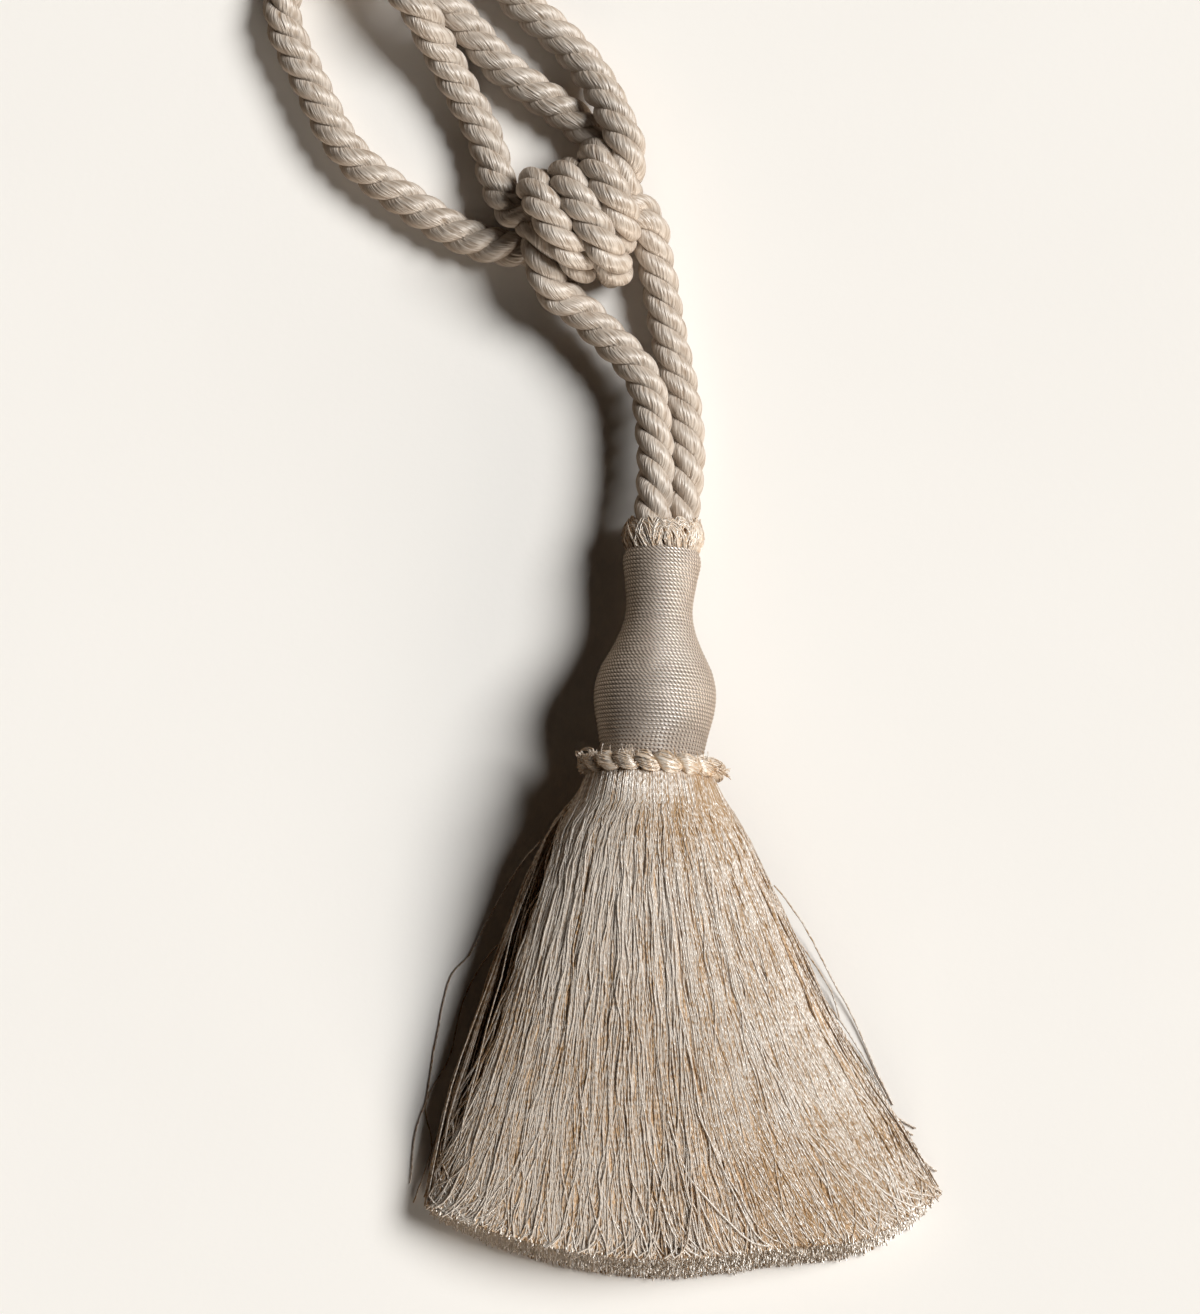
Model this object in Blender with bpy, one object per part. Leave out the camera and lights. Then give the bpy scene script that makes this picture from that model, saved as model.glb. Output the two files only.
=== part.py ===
"""Drapery tassel on a knotted cord, lying on a flat surface.

The frame: +X across the tassel, +Y from the cut ends towards the cord, +Z up.  The origin is on
the surface, in the middle of the tassel's box.  A wound head carries a twisted ring and a ruff of
cut floss, a skirt of cut yarn fans out below the ring, and one cord leaves the head twice, makes
two loops and is wrapped three times round itself in a knot.
"""
import math

import bmesh
import bpy
import numpy as np
from mathutils import Matrix, Vector

MM = 0.001
GAP = 0.35                      # mm, clear space that touching pieces keep

# Cord, in mm.  It is squeezed where the wraps of the knot press on it.
CORD_D = 11.0
CORD_D_KNOT = 9.5
TUBE_SLACK = 0.9                # the plain tubes are this much thinner than the real cord
KNOT_CENTRE = (-26.7, 203.4, 14.0)
KNOT_SQUEEZED_TO = 17.0         # distance from the centre within which the cord is thin
KNOT_FREE_FROM = 29.0           # distance from which it has its full girth
STEP = 2.5                      # spacing of the worked-out points along the cord
EASE_ROUNDS = 600

# Tassel, in mm.  Lengths along the head are measured from the middle of the twisted ring.
RING_CENTRE = (-9.2, 38.4, 21.8)
HEAD_LEAN = math.radians(3.0)   # the head's axis leans towards +X
HEAD_DIP = math.radians(7.5)    # and dips towards the surface at its cord end
RING_RADIUS = 18.9
RING_ALONG = 0.7
RING_GIRTH = 2.5               # half thickness of the ring's cord between two lumps
RING_LUMP = 0.45                # how far a lump stands out
RING_LUMPS = 19
RUFF_TOP = 74.0
CORD_ENDS = {"right": (4.8, -4.1), "left": (-3.4, 4.2)}   # across and up, on the ruff's top
PLUG_RADIUS = 15.6

# Turned outline of the head: (along, radius), from the ring to the ruff.
HEAD_OUTLINE = (
    (3.1, 14.4), (4.0, 15.1), (10.5, 16.3), (18.0, 17.9), (24.0, 18.1), (29.1, 16.9),
    (32.1, 15.5), (36.3, 13.3), (40.8, 11.4), (45.3, 10.2), (49.8, 10.0), (57.0, 10.9),
    (61.5, 11.7), (64.3, 11.3), (66.1, 10.1), (66.9, 8.4),
)
HEAD_SECTIONS = 26
HEAD_SIDES = 32
# Outline of the ruff: (along, radius).
RUFF_OUTLINE = ((67.2, 9.4), (67.9, 11.3), (69.0, 12.1), (71.0, 11.7), (73.2, 10.5), (RUFF_TOP, 9.6))
RUFF_TUFTS = 15
RUFF_SLANT = 0.32               # turn of a tuft over the ruff's height, in radians
RUFF_WAVE = 0.5                 # how far a tuft stands out, in mm

# The skirt, a row for each section from the ring to the cut ends:
# left x, left y, right x, right y, bulge of the middle, height of the top, height of the widest line
SKIRT_ROWS = (
    (-30.8, 31.6, 12.5, 30.0, 0.0, 41.2, 21.4),
    (-38.4, 22.0, 18.4, 20.6, 0.5, 40.4, 17.5),
    (-45.4, 7.5, 26.0, 5.0, 1.5, 38.5, 14.0),
    (-53.4, -13.0, 35.9, -16.0, 4.0, 35.7, 11.0),
    (-59.4, -31.0, 44.4, -34.0, 7.0, 32.9, 9.5),
    (-67.6, -55.0, 56.0, -53.5, 11.0, 29.1, 8.5),
    (-72.8, -76.0, 67.0, -70.5, 15.5, 25.5, 7.5),
    (-76.2, -94.6, 77.0, -88.0, 21.5, 22.0, 6.5),
)
SKIRT_SECTIONS = 21
SKIRT_SIDES = 84
SKIRT_CUT_SLOPE = 8.0           # the top yarns end this much short of the bottom ones
SKIRT_SAG = 5.8                 # how much lower the cut ends hang towards the right corner
SKIRT_SAG_AT, SKIRT_SAG_WIDTH = 0.88, 0.14      # across the width from 0 to 1
# Where one lock of the skirt meets the next, across the width from 0 to 1, and how deep: (at, depth)
SKIRT_LOCKS = (
    (0.045, 0.8), (0.10, 1.2), (0.165, 0.9), (0.23, 1.3), (0.285, 0.9), (0.355, 1.1), (0.415, 1.3),
    (0.48, 1.0), (0.535, 1.2), (0.60, 2.2), (0.66, 1.0), (0.725, 1.0), (0.785, 1.3), (0.85, 0.9),
    (0.905, 1.2), (0.96, 0.8),
)
SKIRT_LOCK_WIDTH = 0.013
SKIRT_LOCK_DEPTH = 1.9          # mm at the cut ends, for a depth of 1

# The cord's route, in mm, one continuous cord: out of the head, up the right side of the knot,
# round the right loop, three wraps round the knot, round the left loop and back to the head.
# (x, y, z) of the cord's middle.
ROUTE_RIGHT = (
    (1.3, 125.2, 7.0), (1.7, 135.1, 6.2), (0.8, 145.6, 6.0), (-1.6, 157.6, 6.0), (-4.5, 171.0, 6.0),
    (-6.3, 182.9, 6.5), (-9.0, 193.8, 8.0), (-12.7, 200.1, 11.0), (-16.5, 205.3, 13.5),
    (-19.0, 209.3, 15.0), (-18.1, 215.1, 16.0), (-17.5, 222.2, 16.5), (-19.8, 231.8, 15.0),
    (-24.3, 241.9, 10.0), (-30.3, 251.0, 6.5), (-38.6, 259.5, 5.5), (-48.2, 267.3, 5.5),
    (-54.2, 274.2, 5.5), (-57.8, 282.5, 5.5), (-61.4, 290.6, 5.5), (-68.5, 295.1, 5.5),
    (-75.7, 292.7, 5.5), (-79.0, 285.5, 5.5), (-77.8, 276.5, 5.5), (-71.2, 266.4, 5.5),
    (-61.7, 257.7, 5.5), (-55.1, 249.1, 5.5), (-46.4, 242.5, 5.5), (-37.4, 236.5, 5.5),
    (-31.0, 232.0, 5.5), (-26.6, 228.2, 5.5),
)
ROUTE_KNOT = (
    (-23.4, 224.2, 6.8), (-23.2, 220.9, 11.5), (-25.3, 219.2, 17.5), (-25.6, 216.2, 22.0),
    (-23.4, 211.0, 24.8), (-20.8, 205.6, 25.0), (-18.3, 201.4, 22.5), (-16.6, 197.8, 16.0),
    (-17.2, 195.8, 9.0), (-20.2, 196.7, 5.0), (-24.3, 201.2, 4.9), (-29.7, 207.3, 4.9),
    (-33.6, 211.8, 6.0), (-35.4, 215.2, 11.0), (-35.6, 215.3, 18.0), (-33.6, 211.6, 23.5),
    (-30.2, 205.9, 25.0), (-26.1, 198.8, 25.0), (-22.5, 192.4, 24.0), (-19.8, 188.6, 19.0),
    (-18.8, 186.8, 12.0), (-20.8, 188.0, 6.0), (-25.4, 192.9, 4.9), (-31.2, 199.0, 4.9),
    (-37.5, 205.8, 4.9), (-41.8, 210.0, 6.5), (-43.7, 212.9, 12.0), (-43.5, 211.6, 19.0),
    (-41.1, 207.3, 24.3), (-37.3, 200.9, 25.0), (-33.4, 194.2, 24.0), (-29.9, 189.3, 19.0),
    (-28.5, 187.3, 12.0), (-31.8, 188.0, 6.0),
)
ROUTE_LEFT = (
    (-37.5, 191.1, 5.0), (-43.7, 194.4, 5.2), (-52.1, 193.8, 5.5), (-61.7, 195.9, 5.5),
    (-72.1, 201.5, 5.5), (-84.4, 209.9, 5.5), (-94.8, 217.7, 5.5), (-102.6, 226.3, 5.5),
    (-107.4, 235.9, 5.5), (-112.2, 246.4, 5.5), (-117.2, 255.9, 5.5), (-120.2, 265.2, 5.5),
    (-118.7, 272.4, 5.5), (-111.6, 278.9, 5.5), (-101.4, 280.7, 6.0), (-92.3, 277.8, 9.0),
    (-84.6, 272.3, 14.0), (-80.1, 267.3, 16.0), (-76.6, 263.0, 14.5), (-74.0, 257.6, 11.0),
    (-71.1, 251.7, 8.0), (-65.5, 240.3, 6.0), (-59.6, 229.9, 5.5), (-56.9, 222.4, 6.0),
    (-55.0, 212.7, 7.5), (-50.5, 206.5, 10.0), (-45.1, 203.5, 13.0), (-41.8, 199.8, 15.0),
    (-42.4, 194.0, 16.0), (-41.2, 187.3, 14.5), (-35.9, 181.9, 12.0), (-30.3, 175.7, 11.0),
    (-24.3, 169.2, 11.0), (-17.8, 163.2, 12.0), (-11.4, 155.9, 12.6), (-9.1, 149.0, 12.9),
    (-8.2, 136.8, 13.6), (-7.5, 128.5, 14.2), (-8.2, 121.3, 15.2),
)

COLOURS = {                     # linear red, green, blue, and roughness
    "wound_cord": ((0.62, 0.56, 0.49), 0.5),
    "floss": ((0.68, 0.60, 0.51), 0.45),
    "yarn": ((0.66, 0.57, 0.46), 0.45),
    "rope": ((0.66, 0.59, 0.52), 0.42),
}


def clear_scene():
    for old in list(bpy.data.objects):
        bpy.data.objects.remove(old, do_unlink=True)


def material(name):
    """A Principled material with the colour and roughness of one finish."""
    if name in bpy.data.materials:
        return bpy.data.materials[name]
    colour, roughness = COLOURS[name]
    made = bpy.data.materials.new(name)
    made.use_nodes = True
    shader = made.node_tree.nodes["Principled BSDF"]
    shader.inputs["Base Color"].default_value = (*colour, 1.0)
    shader.inputs["Roughness"].default_value = roughness
    shader.inputs["Metallic"].default_value = 0.0
    made.diffuse_color = (*colour, 1.0)
    return made


def head_frame():
    """The head's frame in metres: Z along its axis to the cord, X across, -Y up."""
    axis = Vector((math.sin(HEAD_LEAN), math.cos(HEAD_LEAN) * math.cos(HEAD_DIP), -math.sin(HEAD_DIP)))
    axis.normalize()
    across = (Vector((1, 0, 0)) - axis * axis.x).normalized()
    down = axis.cross(across)
    turn = Matrix((across, down, axis)).transposed().to_4x4()
    return Matrix.Translation(Vector(RING_CENTRE) * MM) @ turn


def on_head(across, up, along):
    """A point given in the head's frame in mm, as world mm."""
    return head_frame() @ (Vector((across, -up, along)) * MM) / MM


def close_on_hub(mesh, ring):
    hub = mesh.verts.new(sum((v.co for v in ring), Vector()) / len(ring))
    for i in range(len(ring)):
        mesh.faces.new((ring[i], ring[(i + 1) % len(ring)], hub))


def close_across(mesh, ring):
    """Close a ring of an even count, whose first point is at one side, from its top to its underside."""
    count = len(ring)
    for i in range(count // 2):
        corners = (ring[i], ring[i + 1], ring[count - i - 1], ring[(count - i) % count])
        mesh.faces.new(list(dict.fromkeys(corners)))


def loft(name, rings, finish, close_end=close_on_hub):
    """Skin a row of closed rings (metres) into one closed solid."""
    mesh = bmesh.new()
    loops = [[mesh.verts.new(point) for point in ring] for ring in rings]
    for lower, upper in zip(loops, loops[1:]):
        for i in range(len(lower)):
            j = (i + 1) % len(lower)
            mesh.faces.new((lower[i], lower[j], upper[j], upper[i]))
    close_on_hub(mesh, loops[0])
    close_end(mesh, loops[-1])
    bmesh.ops.recalc_face_normals(mesh, faces=mesh.faces)
    data = bpy.data.meshes.new(name)
    mesh.to_mesh(data)
    mesh.free()
    data.shade_smooth()
    data.set_sharp_from_angle(angle=math.radians(40))
    made = bpy.data.objects.new(name, data)
    data.materials.append(material(finish))
    bpy.context.collection.objects.link(made)
    return made


def smooth_row(rows, at):
    """A row of a table read between its rows, at 0 to 1, on a smooth curve."""
    table = np.array(rows, float)
    place = min(at, 0.9999) * (len(table) - 1)
    i = int(place)
    t = place - i
    before, here = table[max(i - 1, 0)], table[i]
    after, beyond = table[i + 1], table[min(i + 2, len(table) - 1)]
    return 0.5 * (2 * here + (after - before) * t
                  + (2 * before - 5 * here + 4 * after - beyond) * t ** 2
                  + (3 * here - before - 3 * after + beyond) * t ** 3)


def turned(name, outline, sides, finish, swell=lambda along, angle: 0.0):
    """A solid turned about the head's axis, whose radius may swell round it."""
    rings = []
    for along, radius in outline:
        ring = []
        for k in range(sides):
            angle = 2 * math.pi * k / sides
            reach = radius + swell(along, angle)
            ring.append(Vector((reach * math.cos(angle), reach * math.sin(angle), along)) * MM)
        rings.append(ring)
    made = loft(name, rings, finish)
    made.matrix_world = head_frame()
    return made


def make_head():
    outline = [smooth_row(HEAD_OUTLINE, k / HEAD_SECTIONS) for k in range(HEAD_SECTIONS + 1)]
    return turned("tassel_head", outline, HEAD_SIDES, "wound_cord")


def make_ruff():
    low, high = RUFF_OUTLINE[0][0], RUFF_OUTLINE[-1][0]

    def tufts(along, angle):
        up = (along - low) / (high - low)
        height = math.sin(math.pi * min(up, 0.8))
        return RUFF_WAVE * height * math.cos(RUFF_TUFTS * (angle + RUFF_SLANT * up))

    outline = [smooth_row(RUFF_OUTLINE, k / 8) for k in range(9)]
    return turned("tassel_ruff", outline, 4 * RUFF_TUFTS, "floss", tufts)


def make_ring():
    """The ring at the head's foot: a cord of two plies, whose lumps follow their twist."""
    around, across = RING_LUMPS * 5, 10
    mesh = bmesh.new()
    loops = []
    for i in range(around):
        turn = 2 * math.pi * i / around
        loop = []
        for k in range(across):
            side = 2 * math.pi * k / across
            girth = RING_GIRTH + RING_LUMP * abs(math.cos(side - RING_LUMPS * turn / 2))
            reach = RING_RADIUS + girth * math.cos(side)
            along = RING_ALONG + girth * math.sin(side)
            point = Vector((reach * math.cos(turn), reach * math.sin(turn), along))
            loop.append(mesh.verts.new(point * MM))
        loops.append(loop)
    for i in range(around):
        here, after = loops[i], loops[(i + 1) % around]
        for k in range(across):
            n = (k + 1) % across
            mesh.faces.new((here[k], here[n], after[n], after[k]))
    bmesh.ops.recalc_face_normals(mesh, faces=mesh.faces)
    data = bpy.data.meshes.new("skirt_ring")
    mesh.to_mesh(data)
    mesh.free()
    data.shade_smooth()
    data.materials.append(material("floss"))
    made = bpy.data.objects.new("skirt_ring", data)
    bpy.context.collection.objects.link(made)
    made.matrix_world = head_frame()
    return made


def lock_groove(across, along):
    """Depth in mm of the gaps between locks, deepest at the cut ends."""
    depth = sum(deep * math.exp(-((across - at) / SKIRT_LOCK_WIDTH) ** 2) for at, deep in SKIRT_LOCKS)
    return SKIRT_LOCK_DEPTH * depth * (0.12 + 0.88 * along ** 1.5)


def skirt_ring(along):
    """One section of the skirt: a round-topped heap of yarn, flat where it lies on the surface."""
    left_x, left_y, right_x, right_y, bulge, top, middle = smooth_row(SKIRT_ROWS, along)
    flat = max(0.0, 1.0 - along / 0.12)         # 1 at the ring, where the section is still round
    ring = []
    for k in range(SKIRT_SIDES):
        angle = 2 * math.pi * k / SKIRT_SIDES
        across = (1 + math.cos(angle)) / 2
        x = left_x + (right_x - left_x) * across
        y = left_y + (right_y - left_y) * across - bulge * math.sin(angle) ** 2
        if math.sin(angle) >= 0:
            z = middle + (top - middle) * math.sin(angle) ** 0.9
            z -= lock_groove(across, along) * math.sin(angle) ** 0.5
        else:
            depth = middle + (1 - flat) * 5.0 - flat * 2.0
            z = max(middle + depth * math.sin(angle), 0.0)
        y += SKIRT_CUT_SLOPE * along ** 6 * z / top
        y -= SKIRT_SAG * along ** 6 * math.exp(-((across - SKIRT_SAG_AT) / SKIRT_SAG_WIDTH) ** 2)
        y += lock_groove(across, along) * along ** 6
        ring.append(Vector((x, y, z)) * MM)
    return ring


def make_skirt():
    """The skirt of cut yarn, with a round plug that fills the ring and meets the head."""
    frame = head_frame()
    rings = []
    for along, radius in ((2.65, PLUG_RADIUS), (-2.8, PLUG_RADIUS), (-3.1, RING_RADIUS)):
        ring = []
        for k in range(SKIRT_SIDES):
            angle = 2 * math.pi * k / SKIRT_SIDES
            point = Vector((radius * math.cos(angle), -radius * math.sin(angle), along))
            ring.append(frame @ (point * MM))
        rings.append(ring)
    rings += [skirt_ring((k / SKIRT_SECTIONS) ** 0.9) for k in range(SKIRT_SECTIONS + 1)]
    return loft("tassel_skirt", rings, "yarn", close_across)


def girths(points):
    """The cord's diameter at each point: thinner inside the knot."""
    away = np.linalg.norm((points - np.array(KNOT_CENTRE)) * (1, 1, 0.7), axis=1)
    free = np.clip((away - KNOT_SQUEEZED_TO) / (KNOT_FREE_FROM - KNOT_SQUEEZED_TO), 0, 1)
    return CORD_D_KNOT + (CORD_D - CORD_D_KNOT) * free * free * (3 - 2 * free)


def evenly(points, step):
    """The same line with its points a step apart."""
    length = np.concatenate([[0], np.cumsum(np.linalg.norm(np.diff(points, axis=0), axis=1))])
    places = np.linspace(0, length[-1], int(round(length[-1] / step)) + 1)
    return np.stack([np.interp(places, length, points[:, k]) for k in range(3)], axis=1)


def curve_through(route, step):
    """A smooth curve through the route's points, read evenly."""
    route = np.array(route, float)
    time = np.concatenate([[0], np.cumsum(np.linalg.norm(np.diff(route, axis=0), axis=1) ** 0.5)])
    slope = np.diff(route, axis=0) / np.diff(time)[:, None]
    share = (np.diff(time)[1:] / (time[2:] - time[:-2]))[:, None]
    tangent = np.vstack([slope[:1], slope[:-1] * share + slope[1:] * (1 - share), slope[-1:]])
    points = []
    for i, span in enumerate(np.diff(time)):
        for t in np.linspace(0, 1, 40, endpoint=False):
            start = (2 * t ** 3 - 3 * t ** 2 + 1) * route[i] + (t ** 3 - 2 * t ** 2 + t) * span * tangent[i]
            end = (3 * t ** 2 - 2 * t ** 3) * route[i + 1] + (t ** 3 - t ** 2) * span * tangent[i + 1]
            points.append(start + end)
    return evenly(np.array(points + [route[-1]]), step)


def eased(points):
    """Let the cord settle: where it would pass through itself it is pushed apart, and it stays smooth."""
    laid, points = points, points.copy()
    order = np.arange(len(points))
    apart = np.abs(order[:, None] - order[None]) * STEP
    for _ in range(EASE_ROUNDS):
        girth = girths(points)
        between = points[:, None] - points[None]
        distance = np.linalg.norm(between, axis=2) + 1e-9
        need = (girth[:, None] + girth[None]) / 2 + GAP
        short = np.where((apart > 1.9 * need) & (distance < need), need - distance, 0)
        push = ((short / distance)[..., None] * between).sum(axis=1)
        points += 0.5 * push / np.maximum((short > 0).sum(axis=1), 1)[:, None]
        points[1:-1] += 0.05 * (points[:-2] + points[2:] - 2 * points[1:-1])
        points += 0.02 * (laid - points)
        points[:, 2] = np.maximum(points[:, 2], girth / 2 + 0.02)
        points[:2], points[-2:] = laid[:2], laid[-2:]
    return points


def cord_line():
    """The middle of the whole cord, in mm, and the places where one tube ends and the next begins."""
    right, left = ([tuple(on_head(*CORD_ENDS[side], RUFF_TOP + along)) for along in (GAP, 4.0)]
                   for side in ("right", "left"))
    points = eased(curve_through([*right, *ROUTE_RIGHT, *ROUTE_KNOT, *ROUTE_LEFT, *reversed(left)], STEP))
    cuts = [int(np.linalg.norm(points - np.array(place), axis=1).argmin())
            for place in (ROUTE_RIGHT[-3], ROUTE_LEFT[3])]
    return points, cuts


def tube_points(points, first, last):
    """Fewer points for a plain tube: one at each 30 mm or 22 degrees of bend."""
    kept, turned_by, gone = [first], 0.0, 0.0
    for i in range(first + 1, last):
        before, after = points[i] - points[i - 1], points[i + 1] - points[i]
        gone += np.linalg.norm(before)
        cosine = before @ after / np.linalg.norm(before) / np.linalg.norm(after)
        turned_by += math.degrees(math.acos(min(1.0, cosine)))
        if gone > 30 or turned_by > 22 or i in (first + 1, last - 1):
            kept.append(i)
            turned_by, gone = 0.0, 0.0
    return kept + [last]


def make_cord(name, points, first, last):
    """One plain tube of the cord, with flat filled ends."""
    kept = tube_points(points, first, last)
    line = points[kept].copy()
    for end, inner in ((0, 1), (-1, -2)):
        inward = line[inner] - line[end]
        line[end] += inward / np.linalg.norm(inward) * GAP / 2
    data = bpy.data.curves.new(name, "CURVE")
    data.dimensions = "3D"
    data.bevel_depth = CORD_D / 2 * MM
    data.bevel_resolution = 3
    data.use_fill_caps = True
    spline = data.splines.new("POLY")
    spline.points.add(len(line) - 1)
    for knot, point, girth in zip(spline.points, line, girths(line)):
        knot.co = (*(point * MM), 1.0)
        knot.radius = (girth - TUBE_SLACK) / CORD_D
    data.materials.append(material("rope"))
    made = bpy.data.objects.new(name, data)
    bpy.context.collection.objects.link(made)
    return len(line)


def make_cords():
    points, cuts = cord_line()
    ends = [0, *cuts, len(points) - 1]
    count = 0
    for name, first, last in zip(("cord_right_loop", "cord_knot", "cord_left_loop"), ends, ends[1:]):
        count += make_cord(name, points, first, last)
    print("cord length", round(float(np.linalg.norm(np.diff(points, axis=0), axis=1).sum())), "mm,",
          count, "tube points")


clear_scene()
make_head()
make_ruff()
make_ring()
make_skirt()
make_cords()
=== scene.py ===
# %% [markdown]
# # A drapery tassel on a knotted rope
# A tie-back tassel lies on a pale surface. Its head is a small turned mould wound with fine twisted
# cord, a ruff of floss hides where the rope goes in, a thick ring of floss covers the foot of the
# head, and a skirt of cut yarn fans out below. We start by loading the plain solids of the tassel,
# because they fix every place and size, and the script only dresses them.

# %% Load the frame
import math

import bpy
import numpy as np
from mathutils import Matrix, Vector


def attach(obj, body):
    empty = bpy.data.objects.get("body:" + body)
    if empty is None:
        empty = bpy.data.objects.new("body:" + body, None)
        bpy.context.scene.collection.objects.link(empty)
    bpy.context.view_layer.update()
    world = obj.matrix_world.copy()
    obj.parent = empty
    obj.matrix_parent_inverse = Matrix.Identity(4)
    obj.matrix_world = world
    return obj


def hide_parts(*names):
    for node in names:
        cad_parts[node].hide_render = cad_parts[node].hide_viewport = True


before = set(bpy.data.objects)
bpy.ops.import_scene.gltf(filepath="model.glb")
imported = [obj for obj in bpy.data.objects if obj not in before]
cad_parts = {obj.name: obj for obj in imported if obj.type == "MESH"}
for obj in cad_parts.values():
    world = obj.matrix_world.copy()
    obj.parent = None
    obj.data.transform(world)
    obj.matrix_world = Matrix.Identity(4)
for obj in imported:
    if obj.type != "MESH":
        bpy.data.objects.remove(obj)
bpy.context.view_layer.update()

MM = 0.001

# %% [markdown]
# ## Surface, light and camera
# The tassel is seen from straight above. One soft lamp shines from the right and a little from the
# rope's end, so that deep shadows fall to the left. A second one stands low in front of the cut
# ends and lights their faces, and a very weak, warm sky fills the shadows a little.

# %% Surface, light and camera
VIEW_CENTRE = Vector((-0.0243, 0.0719, 0.0))  # the point of the surface under the camera
VIEW_HEIGHT = 1.4  # m
VIEW_TALL = 0.3942  # m of the surface that the view takes in
FRAME_TALL = 36.0  # the camera's own picture height, in mm
SKY_COLOUR, SKY_STRENGTH = (1.0, 0.80, 0.62), 0.012


def linked(name, data):
    """An object at the origin that shows some data."""
    made = bpy.data.objects.new(name, data)
    bpy.context.collection.objects.link(made)
    return made


def make_camera():
    data = bpy.data.cameras.new("camera")
    data.sensor_width = FRAME_TALL
    data.lens = FRAME_TALL * VIEW_HEIGHT / VIEW_TALL
    data.clip_end = 20
    camera = linked("camera", data)
    camera.location = VIEW_CENTRE + Vector((0, 0, VIEW_HEIGHT))
    bpy.context.scene.camera = camera


def make_lamp(name, elevation, azimuth, softness, strength, colour):
    """A lamp far away; angles in degrees, the azimuth from +X towards +Y."""
    data = bpy.data.lights.new(name, "SUN")
    data.angle = math.radians(softness)
    data.energy = strength
    data.color = colour
    up, side = math.radians(elevation), math.radians(azimuth)
    away = Vector((math.cos(up) * math.cos(side), math.cos(up) * math.sin(side), math.sin(up)))
    lamp = linked(name, data)
    lamp.location = VIEW_CENTRE + away
    lamp.rotation_euler = (-away).to_track_quat("-Z", "Y").to_euler()


def make_sky(colour, strength):
    world = bpy.data.worlds.new("pale_sky")
    world.use_nodes = True
    world.node_tree.nodes["Background"].inputs["Color"].default_value = (*colour, 1)
    world.node_tree.nodes["Background"].inputs["Strength"].default_value = strength
    bpy.context.scene.world = world


bpy.context.scene.view_settings.view_transform = "Standard"
make_camera()
make_lamp("window", 43.0, 21.0, 29.0, 3.93, (1.0, 0.985, 0.955))
make_lamp("reflector", 6.0, -72.0, 30.0, 3.1, (1.0, 0.89, 0.77))
make_sky(SKY_COLOUR, SKY_STRENGTH)
print("camera lens", round(bpy.context.scene.camera.data.lens, 1), "mm")

# %% [markdown]
# ## Small helpers for node trees
# Both shaders and Geometry Nodes are graphs. One helper adds a node, sets its options and joins its
# inputs, which keeps each tree short enough to read from top to bottom.

# %% Node helpers


def fill(tree, node, inputs):
    """Give a node its inputs: each is a socket to link or a plain value."""
    for name, value in inputs.items():
        if isinstance(value, bpy.types.NodeSocket):
            tree.links.new(value, node.inputs[name])
        else:
            node.inputs[name].default_value = value


def add(tree, kind, inputs=None, **options):
    """Add a node with its options and inputs."""
    node = tree.nodes.new(kind)
    for name, value in options.items():
        setattr(node, name, value)
    fill(tree, node, inputs or {})
    return node


def maths(tree, operation, *values):
    node = add(tree, "ShaderNodeMath", dict(enumerate(values)), operation=operation)
    return node.outputs[0]


def new_group(name, kind, inputs, outputs):
    """A node group with named sockets: inputs are (name, type, value)."""
    tree = bpy.data.node_groups.new(name, kind)
    for label, socket, value in inputs:
        made = tree.interface.new_socket(label, in_out="INPUT", socket_type=socket)
        if value is not None:
            made.default_value = value
    for label, socket in outputs:
        tree.interface.new_socket(label, in_out="OUTPUT", socket_type=socket)
    return tree, tree.nodes.new("NodeGroupInput").outputs, tree.nodes.new("NodeGroupOutput").inputs


# %% [markdown]
# ## Tubes along paths, in Geometry Nodes
# Everything here is a tube along a line. A curve object with a bevel would do for one cord, but a
# tree makes thousands of yarns in one go and can also lay plies. The last steps of both trees below
# are the same, so they are one function: it keeps how far along and how far round each point lies,
# sweeps a circle along the curve, and stores the two as a UV map for the materials.

# %% The steps that both trees share


def captured(tree, geometry, kind, label, value):
    """Keep a value on the points before the geometry changes; gives the geometry and the value."""
    kept = add(tree, "GeometryNodeCaptureAttribute", {"Geometry": geometry}, domain="POINT")
    kept.capture_items.new(kind, label)
    tree.links.new(value, kept.inputs[1])
    return kept.outputs[0], kept.outputs[1]


def named(tree, name, kind):
    return add(tree, "GeometryNodeInputNamedAttribute", {"Name": name}, data_type=kind).outputs[0]


def sweep(tree, curve, size, given, result):
    """End a tree: a tube of some size along the curve, mapped, real, smooth and with its finish."""
    spline = "GeometryNodeSplineParameter"
    curve, run = captured(tree, curve, "FLOAT", "run", add(tree, spline).outputs["Length"])
    circle = add(tree, "GeometryNodeCurvePrimitiveCircle", {"Resolution": given["Sides"], "Radius": 1.0})
    rim, turn = captured(tree, circle.outputs[0], "FLOAT", "round", add(tree, spline).outputs["Factor"])
    tube = add(tree, "GeometryNodeCurveToMesh", {
        "Curve": curve, "Profile Curve": rim, "Scale": size, "Fill Caps": True})
    place = add(tree, "ShaderNodeCombineXYZ", {"X": turn, "Y": run})
    mapped = add(tree, "GeometryNodeStoreNamedAttribute", {
        "Geometry": tube.outputs[0], "Name": "UVMap", "Value": place.outputs[0]},
        data_type="FLOAT2", domain="CORNER")
    real = add(tree, "GeometryNodeRealizeInstances", {"Geometry": mapped.outputs[0]})
    smooth = add(tree, "GeometryNodeSetShadeSmooth", {"Geometry": real.outputs[0], "Shade Smooth": True})
    painted = add(tree, "GeometryNodeSetMaterial", {
        "Geometry": smooth.outputs[0], "Material": given["Finish"]})
    tree.links.new(painted.outputs[0], result[0])
    print("tree", tree.name, "has", len(tree.nodes), "nodes")


# %% [markdown]
# ### Twisted rope
# A rope is laid from a few plies. A straight rope could be modelled and bent along a curve, but in a
# tight knot its plies would shear, so they are laid round the path itself instead. The path carries
# its girth and a vector that points across it.
# The tree copies the path once for each ply, turns the vector round the path's direction as it
# goes along, and moves each copy out by it. The seam of each tube is turned to the inside, where
# it can't be seen.

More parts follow.
